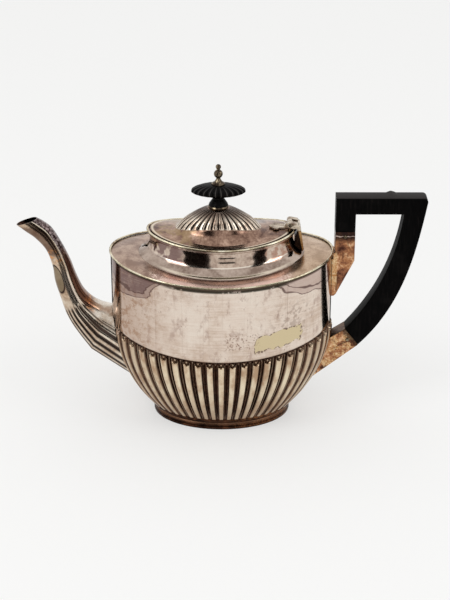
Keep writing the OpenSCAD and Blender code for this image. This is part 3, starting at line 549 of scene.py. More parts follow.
def copper_worn():
    """Sockets worn to the copper, tarnished at their joints, with painted light on the side by the body,
    golden at the lower end, and painted shade on the lower one's upward faces.
    """
    s, mixed, fine = clouded("socket_copper", 8, 3)
    x, z = s.axis("X"), s.axis("Z")
    s.colour = s.colours(
        mixed, 0.38, (222, 180, 142), 0.46, (172, 118, 80), 0.54, (136, 90, 66), 0.62, (70, 42, 34)
    )
    s.paint((92, 58, 44), 0.75, s.spots(0.54, 0.64, 2.4, 4, stretch=(1, 1, 3), seed=14))
    # painted light: the golden side beside the body; golden copper at the lower end
    painted_light_beside_body = s.both(s.band(x, HANDLE_IN + 2.2, HANDLE_IN + 1.2), s.within(z, 96, SHOULDER_Z, 3))
    low_end = s.both(s.band(z, 66, 60), s.spots(0.46, 0.56, 5, 4, seed=19))
    gold = s.colours(fine, 0.38, (236, 208, 164), 0.60, (188, 132, 78))
    s.paint(gold, 0.8, s.math("MAXIMUM", painted_light_beside_body, low_end))
    # the lower socket: painted shade on its upward faces, and dark along its joint
    facing = s.add("ShaderNodeSeparateXYZ", [s.add("ShaderNodeNewGeometry", output=1)], output=2)
    along = s.total((x, 0.79), (z, 0.61), (fine, 4))
    dark = s.math("MAXIMUM", s.band(facing, 0.3, 0.5), s.band(along, 103, 106))
    s.paint((50, 34, 29), 0.85, dark, s.band(z, 72, 68))
    # the upper one is dark at its joint, with a pale wavy line
    s.paint((40, 29, 28), 0.9, s.band(z, UPPER_JOINT - 9, UPPER_JOINT - 4))
    wavy = s.math("MULTIPLY_ADD", s.noise(3, 2, seed=45), 3, z)
    s.paint((214, 192, 180), 0.8, s.within(wavy, UPPER_JOINT - 1.9, UPPER_JOINT - 1.4, 0.2))
    return s.finish(s.span(mixed, 0.18, 0.40), s.noise(0.9, 4, seed=8), 0.04)


def foot_brown():
    """Dark brown tarnish with painted golden highlights towards the handle, a painted shade line at the floor
    and a painted highlight line along the moulding.
    """
    s, mixed, fine = clouded("foot_brown", 7, 6)
    s.colour = s.colours(mixed, 0.36, (98, 62, 42), 0.50, (56, 35, 25), 0.62, (30, 17, 12))
    # painted golden highlights towards the handle
    s.paint((164, 112, 72), 0.6, s.band(s.axis("X"), -4, 26), s.band(fine, 0.48, 0.60))
    # a painted shade line at the floor, and a painted highlight line along the moulding
    for low, high, tint in ((-0.5, 0.7, (24, 15, 12)), (3.7, 4.6, (130, 98, 76))):
        s.paint(tint, 0.8, s.within(s.axis("Z"), low, high, 0.3))
    return s.finish(s.span(mixed, 0.22, 0.42), fine, 0.04)


def dark_tarnish():
    """The hinge: rubbed silver on top and at the knuckles, dark below, golden on the strut's outer edge."""
    s, mixed, fine = clouded("hinge_tarnish", 5, 16)
    z = s.axis("Z")
    s.colour = s.colours(mixed, 0.38, (216, 204, 186), 0.50, (180, 164, 144), 0.62, (116, 96, 80))
    dark = s.colours(mixed, 0.40, (52, 38, 32), 0.60, (22, 15, 13))
    s.paint(dark, 1, s.band(z, COLLAR_TOP + 1.6, COLLAR_TOP + 0.6))
    # the strut leans outwards on its way down
    lean = 0.21
    outer_edge = MOUTH_A + LIP + 2.7 + lean * COLLAR_TOP
    outwards = s.total((s.axis("X"), 1), (z, lean), (fine, 1.2))
    on_edge = s.band(outwards, outer_edge - 0.3, outer_edge + 0.3)
    s.paint((186, 146, 98), 0.85, s.band(z, COLLAR_TOP + 1.6, COLLAR_TOP), on_edge)
    return s.finish(s.span(mixed, 0.16, 0.36), s.noise(0.7, 4), 0.04)


def ebonised_wood(name, along, seed, gloss, greyer_above=1000):
    """Near-black stained wood with drawn-out pores and a rubbed sheen, greyer on its top, and painted glints
    on the ribs where marked.
    """
    s = Surface(name, 0)
    grain = s.noise(1.1, 5, stretch=along, roughness=0.6, seed=seed)
    rubbed = s.noise(16, 3, seed=seed + 4)
    s.colour = s.colours(grain, 0.36, (5, 5, 5), 0.55, (9, 8, 8), 0.72, (20, 17, 16))
    s.paint((30, 27, 26), 0.25, s.band(rubbed, 0.54, 0.72))
    # greyer on the top, above a given height
    s.paint((54, 50, 49), 0.8, s.band(s.axis("Z"), greyer_above - 0.4, greyer_above))
    # painted glints on the rib crests
    s.paint((84, 81, 78), 0.8, s.value("rib"))
    s.shader.inputs["Specular IOR Level"].default_value = gloss
    return s.finish(s.span(rubbed, 0.28, 0.46), grain, 0.025)


silver_body = body_silver()
silver_shoulder = shoulder_silver()
silver_collar = collar_silver()
silver_lid = lid_silver()
silver_spout = spout_silver()
# the last colour is the painted shade on the wires' underside
silver_wire = aged_silver(
    "wire_silver", (236, 228, 206), (212, 200, 172), (140, 118, 96), 9, 23, (92, 84, 54)
)
silver_inside = aged_silver("inside_silver", (150, 130, 114), (112, 90, 76), (60, 44, 36), 14, 37)
silver_small = aged_silver("finial_silver", (146, 133, 110), (86, 75, 61), (38, 30, 26), 3, 41)
copper = copper_worn()
foot_metal = foot_brown()
tarnish = dark_tarnish()
handle_wood = ebonised_wood("handle_wood", (1, 1, 9), 2, 0.02, HANDLE_TOP)
button_wood = ebonised_wood("button_wood", (4, 1, 1), 7, 0.06)


# ---- Body ----

def bowl_fill(z):
    """How far the bowl has swelled from its foot (0) to its full width (1)."""
    down = (BOWL_TOP - np.minimum(z, BOWL_TOP)) / (BOWL_TOP - FOOT_H)
    return np.where(z >= BOWL_TOP, 1, 1 - down ** BOWL_FULLNESS)


def wall_a(z):
    return BOWL_FOOT_A + (BODY_A - BOWL_FOOT_A) * bowl_fill(z)


def wall_b(z):
    return BOWL_FOOT_B + (BODY_B - BOWL_FOOT_B) * bowl_fill(z)


SPOUT_ANGLE = math.asin(SPOUT_ROOT_W / BODY_B)
SOCKET_ANGLE = math.asin(HANDLE_T / 2 / BODY_B)
FADE_ANGLE = math.radians(5)
SEAT_TOP = 56
HEAD_ROOM = 7
FLUTE_PITCH = 8.1
BROAD_SHARE = 0.70
NARROW_SHARE = 0.13
BUD_R, BUD_H, BUD_DOWN, BUD_ROOM = 0.95, 1.2, 1.7, 1.6


def flute_relief(across, down, v):
    """Height and darkness of the fluting: across a flute, down from its head, and 0 to 1 up from the foot."""
    x = np.abs(across)
    broad = np.clip(1 - (x / BROAD_SHARE) ** 2.6, 0, 1) ** 0.55
    narrow = half_round((1 - x) / NARROW_SHARE)
    swell = np.minimum(1, 0.4 + 3 * v)
    rise = (FLUTE_CREST + FLUTE_GROOVE) * broad + (FLUTE_GROOVE + 0.1) * narrow
    # a bud in its own hollow fills each head
    out = np.hypot(x * FLUTE_PITCH / 2, down - BUD_DOWN)
    hollow = np.where(down > BUD_DOWN - 0.6, ramp(out, BUD_ROOM, BUD_ROOM + 0.7), ramp(x, 0.52, 0.62))
    head = ramp(down, 0.1, 1.2) * hollow
    bud = half_round(out / BUD_R)
    height = (rise * head - FLUTE_GROOVE * ramp(down, 0, 0.8)) * swell + BUD_H * bud
    dark = 1 - ramp(x, 0.57, 0.42) * head - 0.34 * ramp(narrow, 0.5, 0.9) * head - 0.65 * ramp(bud, 0.4, 0.8)
    return height, np.clip(dark, 0, 1)


def body_wall():
    columns, angle, across = fluted_round(FLUTES, per_flute=20)
    head = FLUTE_LINE - FLUTE_DIP * np.sin(angle) ** 2
    z_rim = WALL_TOP - RIM_DIP * np.sin(angle) ** 2
    # rows close together under the flutes' heads and just above them
    low_rows = np.linspace(0, 1, 34)
    top_rows = np.linspace(0, 1, 22)[1:]
    wall_rows = np.array([0.008, 0.016, 0.026, 0.05, 0.15, 0.3, 0.45, 0.6, 0.75, 0.88, 0.95, 1])
    z = joined(
        FOOT_H + (head - HEAD_ROOM - FOOT_H) * low_rows,
        head - HEAD_ROOM + HEAD_ROOM * top_rows,
        head + (z_rim - head) * wall_rows,
    )
    down = head - z
    height, dark = flute_relief(across, down, (z - FOOT_H) / (head - FOOT_H))
    # the flutes fade out beside the spout, and beside the lower socket up to its top
    from_handle = np.abs((angle + math.pi) % (2 * math.pi) - math.pi)
    off_spout = np.clip((math.pi - from_handle - SPOUT_ANGLE) / FADE_ANGLE, 0, 1)
    off_socket = np.clip((from_handle - SOCKET_ANGLE) / FADE_ANGLE, 0, 1)
    shown = off_spout * np.maximum(off_socket, np.clip((z - SEAT_TOP) / 4, 0, 1))
    below = ramp(down, -0.1, 0.1)
    border = ramp(down, -1.1, -0.5) * ramp(down, 1.2, 0.4) * shown
    height = height * below * shown - 0.35 * border
    dark = np.maximum(dark * below, border)
    outer = np.stack([(wall_a(z) + height) * np.cos(angle), (wall_b(z) + height) * np.sin(angle), z], axis=2)
    lining = SHEET + FLUTE_GROOVE
    inner_rows = [[BODY_A - SHEET, BODY_B - SHEET, WALL_TOP, RIM_DIP]]
    for level in np.linspace(0.9, 0, 9):
        inner_z = FOOT_H + (BOWL_TOP - FOOT_H) * level
        inner_rows.append([wall_a(inner_z) - lining, wall_b(inner_z) - lining, inner_z, 0])
    inner = oval(inner_rows, columns)
    blank = np.zeros((columns, inner.shape[1]))
    values = {
        "dark": joined(dark, blank),
        "fluted": joined(np.maximum(below * shown, border), blank),
        "under": joined(z_rim - z, blank + 30),
    }
    return loft("body_wall", joined(outer, inner), silver_body, values)


stands_for(body_wall(), "pot", "silver", "body_shell")


# ---- Foot ----

def foot():
    """A bead at the floor, a hollow over it, and a fillet and a bead under the bowl."""
    top_a, top_b = BOWL_FOOT_A - 1, BOWL_FOOT_B - 1
    under_bead, over_bead = 0.24 * FOOT_H, 0.44 * FOOT_H

    def at(out, height):
        return [FOOT_A + out, FOOT_B + out, height, 0]

    def under_bowl(out, height):
        return [top_a + out, top_b + out, height, 0]

    floor_bead, hollow, ledge = at(0.3, under_bead), at(-0.1, under_bead + 0.15), at(0, over_bead)
    fillet, top = under_bowl(-0.2, 0.72 * FOOT_H), under_bowl(0.2, FOOT_H - SEAM)
    inner_top = at(-FOOT_BAND, FOOT_H - SEAM)
    rings = chain(
        [at(0, 0), at(0.3, 0.25), at(0.4, under_bead * 0.6), floor_bead],
        [floor_bead, hollow],
        [hollow, at(0.2, 0.34 * FOOT_H), ledge],
        [ledge, at(-0.7, 0.52 * FOOT_H), at(-0.3, 0.63 * FOOT_H), fillet],
        [fillet, under_bowl(0.3, 0.76 * FOOT_H), under_bowl(0.4, 0.86 * FOOT_H), top],
        [top, inner_top], [inner_top, at(-FOOT_BAND, 0)],
    )
    return loft("foot_moulding", oval(rings, PLAIN_STEPS), foot_metal)


stands_for(foot(), "pot", "foot_metal", "foot_ring")


# ---- Shoulder, collar and their wires ----

def shoulder():
    rim = [BODY_A, BODY_B, SHOULDER_Z, RIM_DIP]
    crown = [(BODY_A + COLLAR_A) / 2, (BODY_B + COLLAR_B) / 2, SHOULDER_Z + CROWN, (RIM_DIP + NECK_DIP) / 2]
    neck = [COLLAR_A, COLLAR_B, SHOULDER_Z, NECK_DIP]
    hole = [COLLAR_A - HOLE_IN, COLLAR_B - HOLE_IN, SHOULDER_Z, NECK_DIP]
    low_rim, low_crown, low_neck, low_hole = np.array([rim, crown, neck, hole]) - [0, 0, SHEET, 0]
    rings = chain(
        [low_rim, rim], [rim, crown, neck], [neck, hole], [hole, low_hole], [low_hole, low_neck],
        [low_neck, low_crown, low_rim],
    )[:-1]
    points = oval(rings, RING_STEPS)
    out = (rings[:, 0] - COLLAR_A) / (BODY_A - COLLAR_A)
    return loft("shoulder", points, silver_shoulder, {"out": np.broadcast_to(out, points.shape[:2])})


def wire(name, ring, radius):
    """A round wire that follows a ring, with its underside marked for painted shade."""
    turn = np.linspace(0, 2 * math.pi, 20, endpoint=False)
    across, up = radius * np.cos(turn), radius * np.sin(turn)
    rings = np.array(ring) + np.stack([across, across, up, 0 * turn], axis=1)
    low = np.broadcast_to(ramp(-np.sin(turn), -0.35, 0.25), (RING_STEPS, len(turn)))
    return loft(name, oval(rings, RING_STEPS), silver_wire, {"low": low})


def collar_ring(share, height, inset=0):
    """A ring of the collar: share of the way in from its base to its waist, height over the shoulder."""
    a = COLLAR_A + (WAIST_A - COLLAR_A) * share - inset
    b = COLLAR_B + (WAIST_B - COLLAR_B) * share - inset
    return [a, b, SHOULDER_Z + height, NECK_DIP]


def lip_ring(out, up=0):
    return [MOUTH_A + out, MOUTH_B + out, COLLAR_TOP + up, NECK_DIP]


def collar():
    base, hole = collar_ring(0, SEAM), collar_ring(0, SEAM, HOLE_IN)
    outside = [
        base, collar_ring(0.06, 0.45), collar_ring(0.34, 0.10 * COLLAR_H), collar_ring(0.69, 0.24 * COLLAR_H),
        collar_ring(0.92, 0.47 * COLLAR_H), collar_ring(1, 0.74 * COLLAR_H),
        lip_ring(LIP - 0.9, -1.6), lip_ring(LIP, -SHEET),
    ]
    inside = [
        lip_ring(0, -SHEET), collar_ring(1, 0.74 * COLLAR_H, SHEET),
        collar_ring(0.92, 0.47 * COLLAR_H, SHEET), collar_ring(0.69, 0.20 * COLLAR_H, SHEET), hole,
    ]
    rings = chain(
        outside, [outside[-1], lip_ring(LIP)], [lip_ring(LIP), lip_ring(0)], [lip_ring(0), inside[0]],
        inside, [hole, base],
    )[:-1]
    points = oval(rings, RING_STEPS)
    up = np.broadcast_to(rings[:, 2] - SHOULDER_Z, points.shape[:2])
    return loft("collar_band", points, silver_collar, {"up": up})


rim_out = RIM_OUT - RIM_WIRE_R
rim_ring = [BODY_A + rim_out, BODY_B + rim_out, SHOULDER_Z + RIM_WIRE_R + SEAM, RIM_DIP]
mouth_ring = lip_ring(LIP, MOUTH_WIRE_R + SEAM)
stands_for(shoulder(), "pot", "silver", "shoulder_plate")
stands_for(wire("rim_bead", rim_ring, RIM_WIRE_R), "pot", "silver", "rim_wire")
stands_for(collar(), "pot", "silver", "collar")
stands_for(wire("mouth_bead", mouth_ring, MOUTH_WIRE_R), "pot", "silver", "mouth_wire")


# ---- Spout ----

# from the tip: how far out and how high the upper and the lower edge are, and the share of the way down
SPOUT_STATIONS = np.array([
    [48.6, 142.4, 62.5, 137.9, 0],
    [44, 139.6, 56.8, 133.3, 0.03],
    [38.8, 134.9, 50, 128, 0.06],
    [33.2, 125, 43.3, 119.6, 0.10],
    [27.8, 113, 39.6, 108, 0.15],
    [23.6, 100.5, 38.4, 97.5, 0.24],
    [19.2, 90.5, 35.6, 86.8, 0.36],
    [13.6, 84, 31, 71.5, 0.52],
    [7.6, 80.2, 24.4, 59.4, 0.70],
    [3.4, 78.8, 15.4, 46.4, 0.86],
])
RIDGE_AT = math.radians(58)
RIDGE_RISE, RIDGE_REACH = 0.10, math.radians(26)
FLUTED_FROM = 0.44
TIP_THIN = 0.35
SIDE_FULLNESS = 0.85


def spout_relief(share, f):
    """Height and darkness of the spout's fluting below its ridge."""
    across = across_flutes(np.clip((f - RIDGE_AT) / (math.pi - RIDGE_AT), 0, 1), SPOUT_FLUTES)
    shown = ramp(share, FLUTED_FROM, FLUTED_FROM + 0.05) * ramp(f, RIDGE_AT - 0.02, RIDGE_AT + 0.03)
    dark = shown * ramp(np.abs(across), 0.30, 0.58)
    ridge = ramp(share, FLUTED_FROM + 0.1, FLUTED_FROM - 0.1) * ramp(np.abs(f - RIDGE_AT), 0.06, 0.02)
    return SPOUT_FLUTE_H * shown * (half_round(across) - 1), dark, ridge


def spout_side(side):
    around = 84
    f = np.linspace(0, math.pi, around)
    crease = RIDGE_RISE * np.clip(1 - np.abs(f - RIDGE_AT) / RIDGE_REACH, 0, 1)

    def loop(inset):
        """Points from the tip to the root, drawn in by inset, with the fluting's darkness and the ridge."""
        rows, darks, ridges = [], [], []

        def section(share):
            """How far the section is drawn in, and its half width round the half turn."""
            thin = inset * (TIP_THIN + (1 - TIP_THIN) * ramp(share, 0, 0.05))
            width = SPOUT_TIP_W + (SPOUT_ROOT_W - SPOUT_TIP_W) * share
            relief, dark, ridge = spout_relief(share, f)
            darks.append(dark)
            ridges.append(ridge)
            y = (width - thin) * np.sin(f) ** SIDE_FULLNESS * (1 + crease * (1 - ramp(share, 0.35, 0.6)))
            return thin, y if inset else np.maximum(y + relief, 0)

        for upper_out, upper_z, lower_out, lower_z, share in curve(SPOUT_STATIONS, 8):
            upper, lower = np.array([-BODY_A - upper_out, upper_z]), np.array([-BODY_A - lower_out, lower_z])
            half = (upper - lower) / 2
            thin, y = section(share)
            reach = (np.linalg.norm(half) - thin) / np.linalg.norm(half)
            x, z = ((upper + lower) / 2 + half * np.cos(f)[:, None] * reach).T
            rows.append(np.stack([x, side * y, z], axis=1))
        thin, y = section(1)
        z = sum(SPOUT_ROOT) / 2 + ((SPOUT_ROOT[0] - SPOUT_ROOT[1]) / 2 - thin) * np.cos(f)
        x = -(wall_a(z) + ROOT_GAP) * np.sqrt(1 - (y / wall_b(z)) ** 2)
        rows.append(np.stack([x, side * y, z], axis=1))
        return np.array(rows), np.array(darks), np.array(ridges)

    outer, dark, ridge = loop(0)
    inner, _, _ = loop(SPOUT_WALL)
    points = joined(outer, inner[:, ::-1])
    points[:, :, 1] += side * SEAM / 2
    blank = np.zeros(dark.shape)
    values = {
        "dark": joined(0.96 * dark, blank + 1),
        "side": joined((f - RIDGE_AT) / (math.pi - RIDGE_AT) + blank, blank),
        "ridge": joined(ridge, blank),
        "upper": joined(ramp(f, RIDGE_AT + 0.02, RIDGE_AT - 0.06) + blank, blank),
    }
    columns, rows = points.shape[:2]
    faces = loft_faces(columns, rows, wrap=False)
    for first, step in ((0, 1), (columns * rows - rows, -1)):
        last = first + rows - 1
        for q in range(around - 1):
            faces.append((first + q, first + q + 1, last - q - 1, last - q)[::step])
    if side > 0:
        faces = [face[::-1] for face in faces]
    name = "spout_side_" + ("left" if side > 0 else "right")
    return mesh_piece(name, points, faces, silver_spout, values, sharp=40)


stands_for(spout_side(1), "pot", "silver", "spout_left")
stands_for(spout_side(-1), "pot", "silver", "spout_right")


# ---- Lid ----

def lid():
    columns, t, across = fluted_round(LID_FLUTES, per_flute=14)
    # half length, half width, height over the flange, dip, shift, flute share
    upper = [
        [LID_A, LID_B, 0, NECK_DIP, 0, 0],
        [0.84 * LID_A, LID_B - 2, -0.3, 0.82 * NECK_DIP, 0.1, 0],
        [0.69 * LID_A, LID_B - 4, -0.5, 0.6 * NECK_DIP, 0.4, 0],
        [0.63 * LID_A, 0.69 * LID_B, -0.4, -0.2 * NECK_DIP, 0.8, 0],
        [0.60 * LID_A, 0.60 * LID_B, 0, -0.8 * NECK_DIP, 1, 0],
    ]
    dome = [
        upper[-1],
        [0.585 * LID_A, 0.575 * LID_B, 0.05 * DOME_H, -0.8 * NECK_DIP, 1, 1],
        [0.50 * LID_A, 0.51 * LID_B, 0.36 * DOME_H, -0.5 * NECK_DIP, 1, 1],
        [0.40 * LID_A, 0.44 * LID_B, 0.60 * DOME_H, -0.25 * NECK_DIP, 1, 0.9],
        [0.28 * LID_A, 0.36 * LID_B, 0.82 * DOME_H, -0.1 * NECK_DIP, 1, 0.7],
        [WASHER_R + 2, WASHER_R + 1.6, 0.94 * DOME_H, 0, 1, 0.4],
        [WASHER_R, WASHER_R, DOME_H, 0, 1, 0],
    ]
    bore = [BORE_R, BORE_R, DOME_H, 0, 1, 0]
    lower = [
        [BORE_R, BORE_R, DOME_H - SHEET, 0, 1, 0],
        [WASHER_R, WASHER_R, 0.94 * DOME_H - SHEET, 0, 1, 0],
        [0.27 * LID_A, 0.34 * LID_B, 0.72 * DOME_H - SHEET, -0.1 * NECK_DIP, 1, 0],
        [0.48 * LID_A, 0.47 * LID_B, 0.28 * DOME_H - SHEET, -0.5 * NECK_DIP, 1, 0],
        [0.58 * LID_A, 0.53 * LID_B, -SHEET, -0.6 * NECK_DIP, 1, 0],
        [0.69 * LID_A, LID_B - 5, -0.5 - SHEET, 0.6 * NECK_DIP, 0.4, 0],
        [LID_A, LID_B, -SHEET, NECK_DIP, 0, 0],
    ]
    rings = chain(upper, dome, [dome[-1], bore], [bore, lower[0]], lower, [lower[-1], upper[0]])[:-1]
    a, b, z, dip, shift, fluted = spread(rings, columns)
    out = LID_FLUTE_H * fluted * (half_round(across) - 1)
    points = np.stack([
        (a + out) * np.cos(t) - DOME_SHIFT * shift,
        (b + out) * np.sin(t),
        LID_TOP + z + out / 2 - dip * np.sin(t) ** 2,
    ], axis=2)
    level = z / DOME_H
    values = {
        "dark": ramp(np.abs(across), 0.50 - 0.25 * level, 0.85) * fluted,
        "fluted": ramp(fluted, 0, 0.15),
        "top": ramp(level, 0.38, 0.85) * ramp(fluted, 0, 0.1),
        "bead": ramp(a, LID_A - 2.6, LID_A - 1.9) * ramp(a, LID_A - 0.9, LID_A - 1.3),
    }
    return loft("lid_dome", points, silver_lid, values)


def bezel():
    out_a, out_b = MOUTH_A - BEZEL_GAP, MOUTH_B - BEZEL_GAP
    low, high = LID_LOW - BEZEL_H, LID_LOW - BEZEL_DROP
    corners = (0, low), (0, high), (SHEET, high), (SHEET, low)
    rings = [[out_a - inwards, out_b - inwards, z, NECK_DIP] for inwards, z in corners]
    return loft("lid_inner_ring", oval(rings, PLAIN_STEPS), silver_inside)


stands_for(lid(), "lid", "silver", "lid_shell")
stands_for(bezel(), "lid", "silver", "lid_bezel")


# ---- Finial button ----

def button():
    columns, t, across = fluted_round(BUTTON_LOBES, per_flute=12)
    waist = 3.75
    side = [
        [WASHER_R - 0.6, WASHER_R - 0.6, 0, 0],
        [WASHER_R - 0.8, WASHER_R - 0.8, 0.07 * BUTTON_H, 0],
        [waist + 1, waist + 1, 0.22 * BUTTON_H, 0],
        [waist, waist, 0.34 * BUTTON_H, 0],
        [waist + 1.6, waist + 0.8, 0.44 * BUTTON_H, 0],
        [0.38 * BUTTON_LEN, 0.38 * BUTTON_WID, 0.52 * BUTTON_H, 0.7],
        [0.49 * BUTTON_LEN, 0.48 * BUTTON_WID, 0.62 * BUTTON_H, 1],
        [0.5 * BUTTON_LEN, 0.5 * BUTTON_WID, 0.71 * BUTTON_H, 1],
        [0.46 * BUTTON_LEN, 0.46 * BUTTON_WID, 0.82 * BUTTON_H, 1],
        [0.32 * BUTTON_LEN, 0.34 * BUTTON_WID, 0.94 * BUTTON_H, 0.7],
        [5, 5, BUTTON_H, 0],
    ]
    bore, low_bore = [BORE_R, BORE_R, BUTTON_H, 0], [BORE_R, BORE_R, 0, 0]
    rings = chain(side, [side[-1], bore], [bore, low_bore], [low_bore, side[0]])[:-1]
    a, b, z, lobed = spread(rings, columns)
    out = BUTTON_NOTCH * lobed * (half_round(across) - 1)
    points = np.stack([(a + out) * np.cos(t) - DOME_SHIFT, (b + out) * np.sin(t), BUTTON_Z + z], axis=2)
    # the crests of the lobes, for painted glints
    rib = ramp(np.abs(across), 0.22, 0.06) * lobed
    return loft("button", points, button_wood, {"rib": rib})


stands_for(button(), "lid", "ebonised_wood", "finial_button")


# ---- Handle ----

def bezier(p, steps):
    s = np.linspace(0, 1, steps + 1)[:, None]
    p = [np.asarray(q, float) for q in p]
    return (1 - s) ** 3 * p[0] + 3 * (1 - s) ** 2 * s * p[1] + 3 * (1 - s) * s ** 2 * p[2] + s ** 3 * p[3]


def inset(outline, by):
    """A closed outline drawn in by a distance, its corners mitred."""
    along = np.roll(outline, -1, axis=0) - outline
    along /= np.linalg.norm(along, axis=1)[:, None]
    inward = np.stack([along[:, 1], -along[:, 0]], axis=1)
    before = np.roll(inward, 1, axis=0)
    return outline + by * (inward + before) / (1 + np.sum(inward * before, axis=1))[:, None]


def handle():
    bar_low = HANDLE_TOP - HANDLE_BAR
    outer_from = np.array([HANDLE_OUT, HANDLE_TOP - HANDLE_CORNER])
    inner_from = np.array([HANDLE_OUT - CORNER_WID, bar_low])
    outer = bezier([outer_from, *(outer_from + OUTER_BEND), LOWER_OUTER], steps=40)
    inner = bezier([inner_from, *(inner_from + INNER_BEND), LOWER_INNER], steps=40)[::-1]
    turns = np.linspace(0, math.pi / 2, 7)[:-1]
    corner = outer_from + HANDLE_CORNER * np.stack([np.sin(turns) - 1, np.cos(turns)], axis=1)
    top = [[HANDLE_IN, HANDLE_TOP]] + [[x, HANDLE_TOP] for x, _ in CHIP]
    outline = np.concatenate([
        [[HANDLE_IN, UPPER_JOINT]], top, corner, outer, inner,
        [[HANDLE_IN + HANDLE_LEG, bar_low], [HANDLE_IN + HANDLE_LEG, UPPER_JOINT]],
    ])
    n = len(outline)
    arc = np.linspace(0, math.pi / 2, 5)
    section = [(HANDLE_EDGE * (1 - math.sin(w)), HANDLE_T / 2 - HANDLE_EDGE * (1 - math.cos(w))) for w in arc]
    section += [(by, -y) for by, y in section[::-1]]
    loops = [inset(outline, by) for by, _ in section]
    # the chip is on the far side: the outline's third to sixth points
    chip = np.zeros((n, 2))
    chip[2:6, 1] = [rise for _, rise in CHIP]
    points = [[x, y, z] for (_, y), loop in zip(section, loops) for x, z in loop + chip * (y > 0)]
    rows = len(section)
    last = (rows - 1) * n
    faces = [
        (k + i, k + (i + 1) % n, k + n + (i + 1) % n, k + n + i)
        for k in range(0, last, n) for i in range(n)
    ]
    faces += [tuple(range(n))[::-1], tuple(range(last, last + n))]
    return mesh_piece("handle_wood", points, faces, handle_wood, sharp=35)


stands_for(handle(), "pot", "ebonised_wood", "handle_grip")


# ---- Frame pieces that keep their own mesh ----

def dress(node, material, edge=0):
    """Gives a frame node a material and, where asked, softened edges."""
    piece = frame["nodes"][node]
    piece.data.materials.clear()
    piece.data.materials.append(material)
    if edge:
        weld = piece.modifiers.new("weld", "WELD")
        weld.merge_threshold = 0.01 * MM
        soft = piece.modifiers.new("worn_edges", "BEVEL")
        soft.width = edge * MM
        soft.segments = 2
        soft.limit_method = "ANGLE"
        soft.angle_limit = math.radians(35)


dress("base_plate", foot_metal)
dress("hinge_bracket", tarnish, 0.25)
dress("hinge_leaf", tarnish, 0.2)
dress("finial_nut", silver_inside, 0.2)
for socket in ("upper_socket", "lower_socket"):
    dress(socket, copper, 0.3)
for small in ("hinge_pin", "finial_washer", "finial_cap", "finial_stud", "upper_pin", "lower_pin"):
    dress(small, silver_small)


# ---- Stage, light and camera ----

def stage_plane(name, corners, material):
    mesh = bpy.data.meshes.new(name)
    mesh.from_pydata(corners, [], [tuple(range(len(corners)))])
    mesh.materials.append(material)
    plane = placed(name, mesh)
    return plane


def plain(name, colour, roughness=0.8):
    material = bpy.data.materials.new(name)
    material.use_nodes = True
    shader = material.node_tree.nodes["Principled BSDF"]
    shader.inputs["Base Color"].default_value = colour
    shader.inputs["Roughness"].default_value = roughness
    shader.inputs["Specular IOR Level"].default_value = 0.1
    return material


def seen(nodes, links):
    """1 for rays from the camera and for reflections of it, 0 for the rays that carry light."""
    path = nodes.new("ShaderNodeLightPath")
    either = nodes.new("ShaderNodeMath")
    either.operation = "MAXIMUM"
    links.new(path.outputs["Is Camera Ray"], either.inputs[0])
    links.new(path.outputs["Is Glossy Ray"], either.inputs[1])
    return either.outputs[0]


FLOOR_HALF = 3
FLOOR_WHITE = rgb(252, 252, 251)
FLOOR_GLOW = 0.5


def floor_white():
    """A pale floor, part of whose white is kept from the shadow so that it stays soft."""
    material = plain("floor_white", FLOOR_WHITE)
    nodes, links = material.node_tree.nodes, material.node_tree.links
    glow, mix, share = (nodes.new("ShaderNode" + kind) for kind in ("Emission", "MixShader", "Math"))
    glow.inputs["Color"].default_value = FLOOR_WHITE
    share.operation = "MULTIPLY"
    share.inputs[1].default_value = FLOOR_GLOW
    links.new(seen(nodes, links), share.inputs[0])
    links.new(share.outputs[0], mix.inputs[0])
    links.new(nodes["Principled BSDF"].outputs[0], mix.inputs[1])
    links.new(glow.outputs[0], mix.inputs[2])
    links.new(mix.outputs[0], nodes["Material Output"].inputs["Surface"])
    return material


floor_corners = [(FLOOR_HALF * x, FLOOR_HALF * y, 0) for x, y in ((-1, -1), (1, -1), (1, 1), (-1, 1))]
stage_plane("floor", floor_corners, floor_white())


def flag(name, azimuth, width, distance, low, high):
    """A black card that only reflections see: degrees from the front to the right, and metres."""
    angles = [math.radians(azimuth + side * width / 2) for side in (-1, 1)]
    left, right = [(distance * math.sin(w), -distance * math.cos(w)) for w in angles]
    corners = [(*left, low), (*right, low), (*right, high), (*left, high)]
    card = stage_plane(name, corners, flag_black)
    for ray in ("camera", "diffuse", "shadow", "transmission"):
        setattr(card, "visible_" + ray, False)


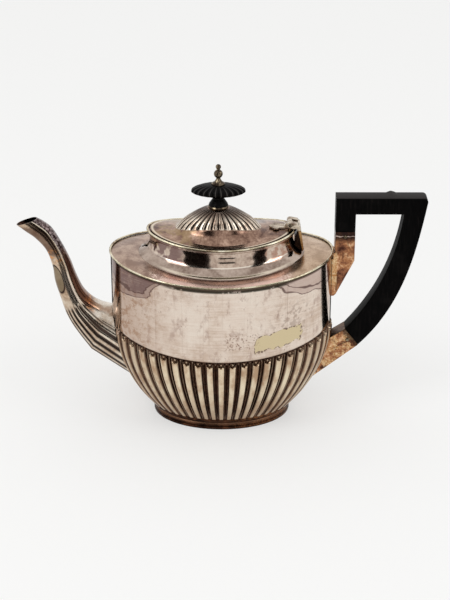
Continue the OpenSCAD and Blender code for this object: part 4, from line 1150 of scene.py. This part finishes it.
FRONT_FLAG, BACK_FLAG = 0.34, 0.16
TALL_FLAG, SHORT_FLAG = 0.62, 0.13
flag_black = plain("flag_black", rgb(30, 27, 26), 1)
flag("flag_front_left", -24, 27, FRONT_FLAG, 0, TALL_FLAG)
flag("flag_front_middle", 5, 15, FRONT_FLAG, 0.12, 0.2)
flag("flag_front_right", 39, 16, FRONT_FLAG, 0, TALL_FLAG)
flag("flag_back_left", -137, 20, BACK_FLAG, 0, SHORT_FLAG)
flag("flag_back_right", 137, 20, BACK_FLAG, 0, SHORT_FLAG)


def area_light(name, place, size, power):
    """A square lamp that faces the middle of the pot."""
    light = bpy.data.lights.new(name, "AREA")
    light.shape = "RECTANGLE"
    light.size = light.size_y = size
    light.energy = power
    lamp = placed(name, light)
    lamp.location = place
    aim = Vector(np.subtract(POT_MIDDLE, place))
    lamp.rotation_euler = aim.to_track_quat("-Z", "Y").to_euler()


POT_MIDDLE = (0, 0, 0.08)
area_light("key", (-0.9, -0.7, 1.3), 0.7, 4)
area_light("fill", (1, -0.5, 1), 0.6, 2)

WORLD_LIGHT, WORLD_SEEN = 0.78, 1


def world():
    """White light from all round, a little brighter where it is seen than where it lights."""
    w = bpy.data.worlds.new("studio")
    bpy.context.scene.world = w
    w.use_nodes = True
    nodes, links = w.node_tree.nodes, w.node_tree.links
    background = nodes["Background"]
    background.inputs["Color"].default_value = (1, 1, 1, 1)
    strength = nodes.new("ShaderNodeMapRange")
    links.new(seen(nodes, links), strength.inputs[0])
    strength.inputs["To Min"].default_value = WORLD_LIGHT
    strength.inputs["To Max"].default_value = WORLD_SEEN
    links.new(strength.outputs[0], background.inputs["Strength"])


world()

CAMERA_AT = (0.00485, -1, 0.5472)
CAMERA_TILT = 65.05
CAMERA_TURN = 0.14
LENS_PIXELS = 1608.3
FRAME_HEIGHT = 600
camera_data = bpy.data.cameras.new("camera")
camera_data.sensor_fit = "VERTICAL"
camera_data.sensor_height = 24
camera_data.lens = LENS_PIXELS * camera_data.sensor_height / FRAME_HEIGHT
camera = placed("camera", camera_data)
camera.location = CAMERA_AT
camera.rotation_euler = (math.radians(CAMERA_TILT), 0, math.radians(CAMERA_TURN))
bpy.context.scene.camera = camera
bpy.context.scene.view_settings.view_transform = "Standard"
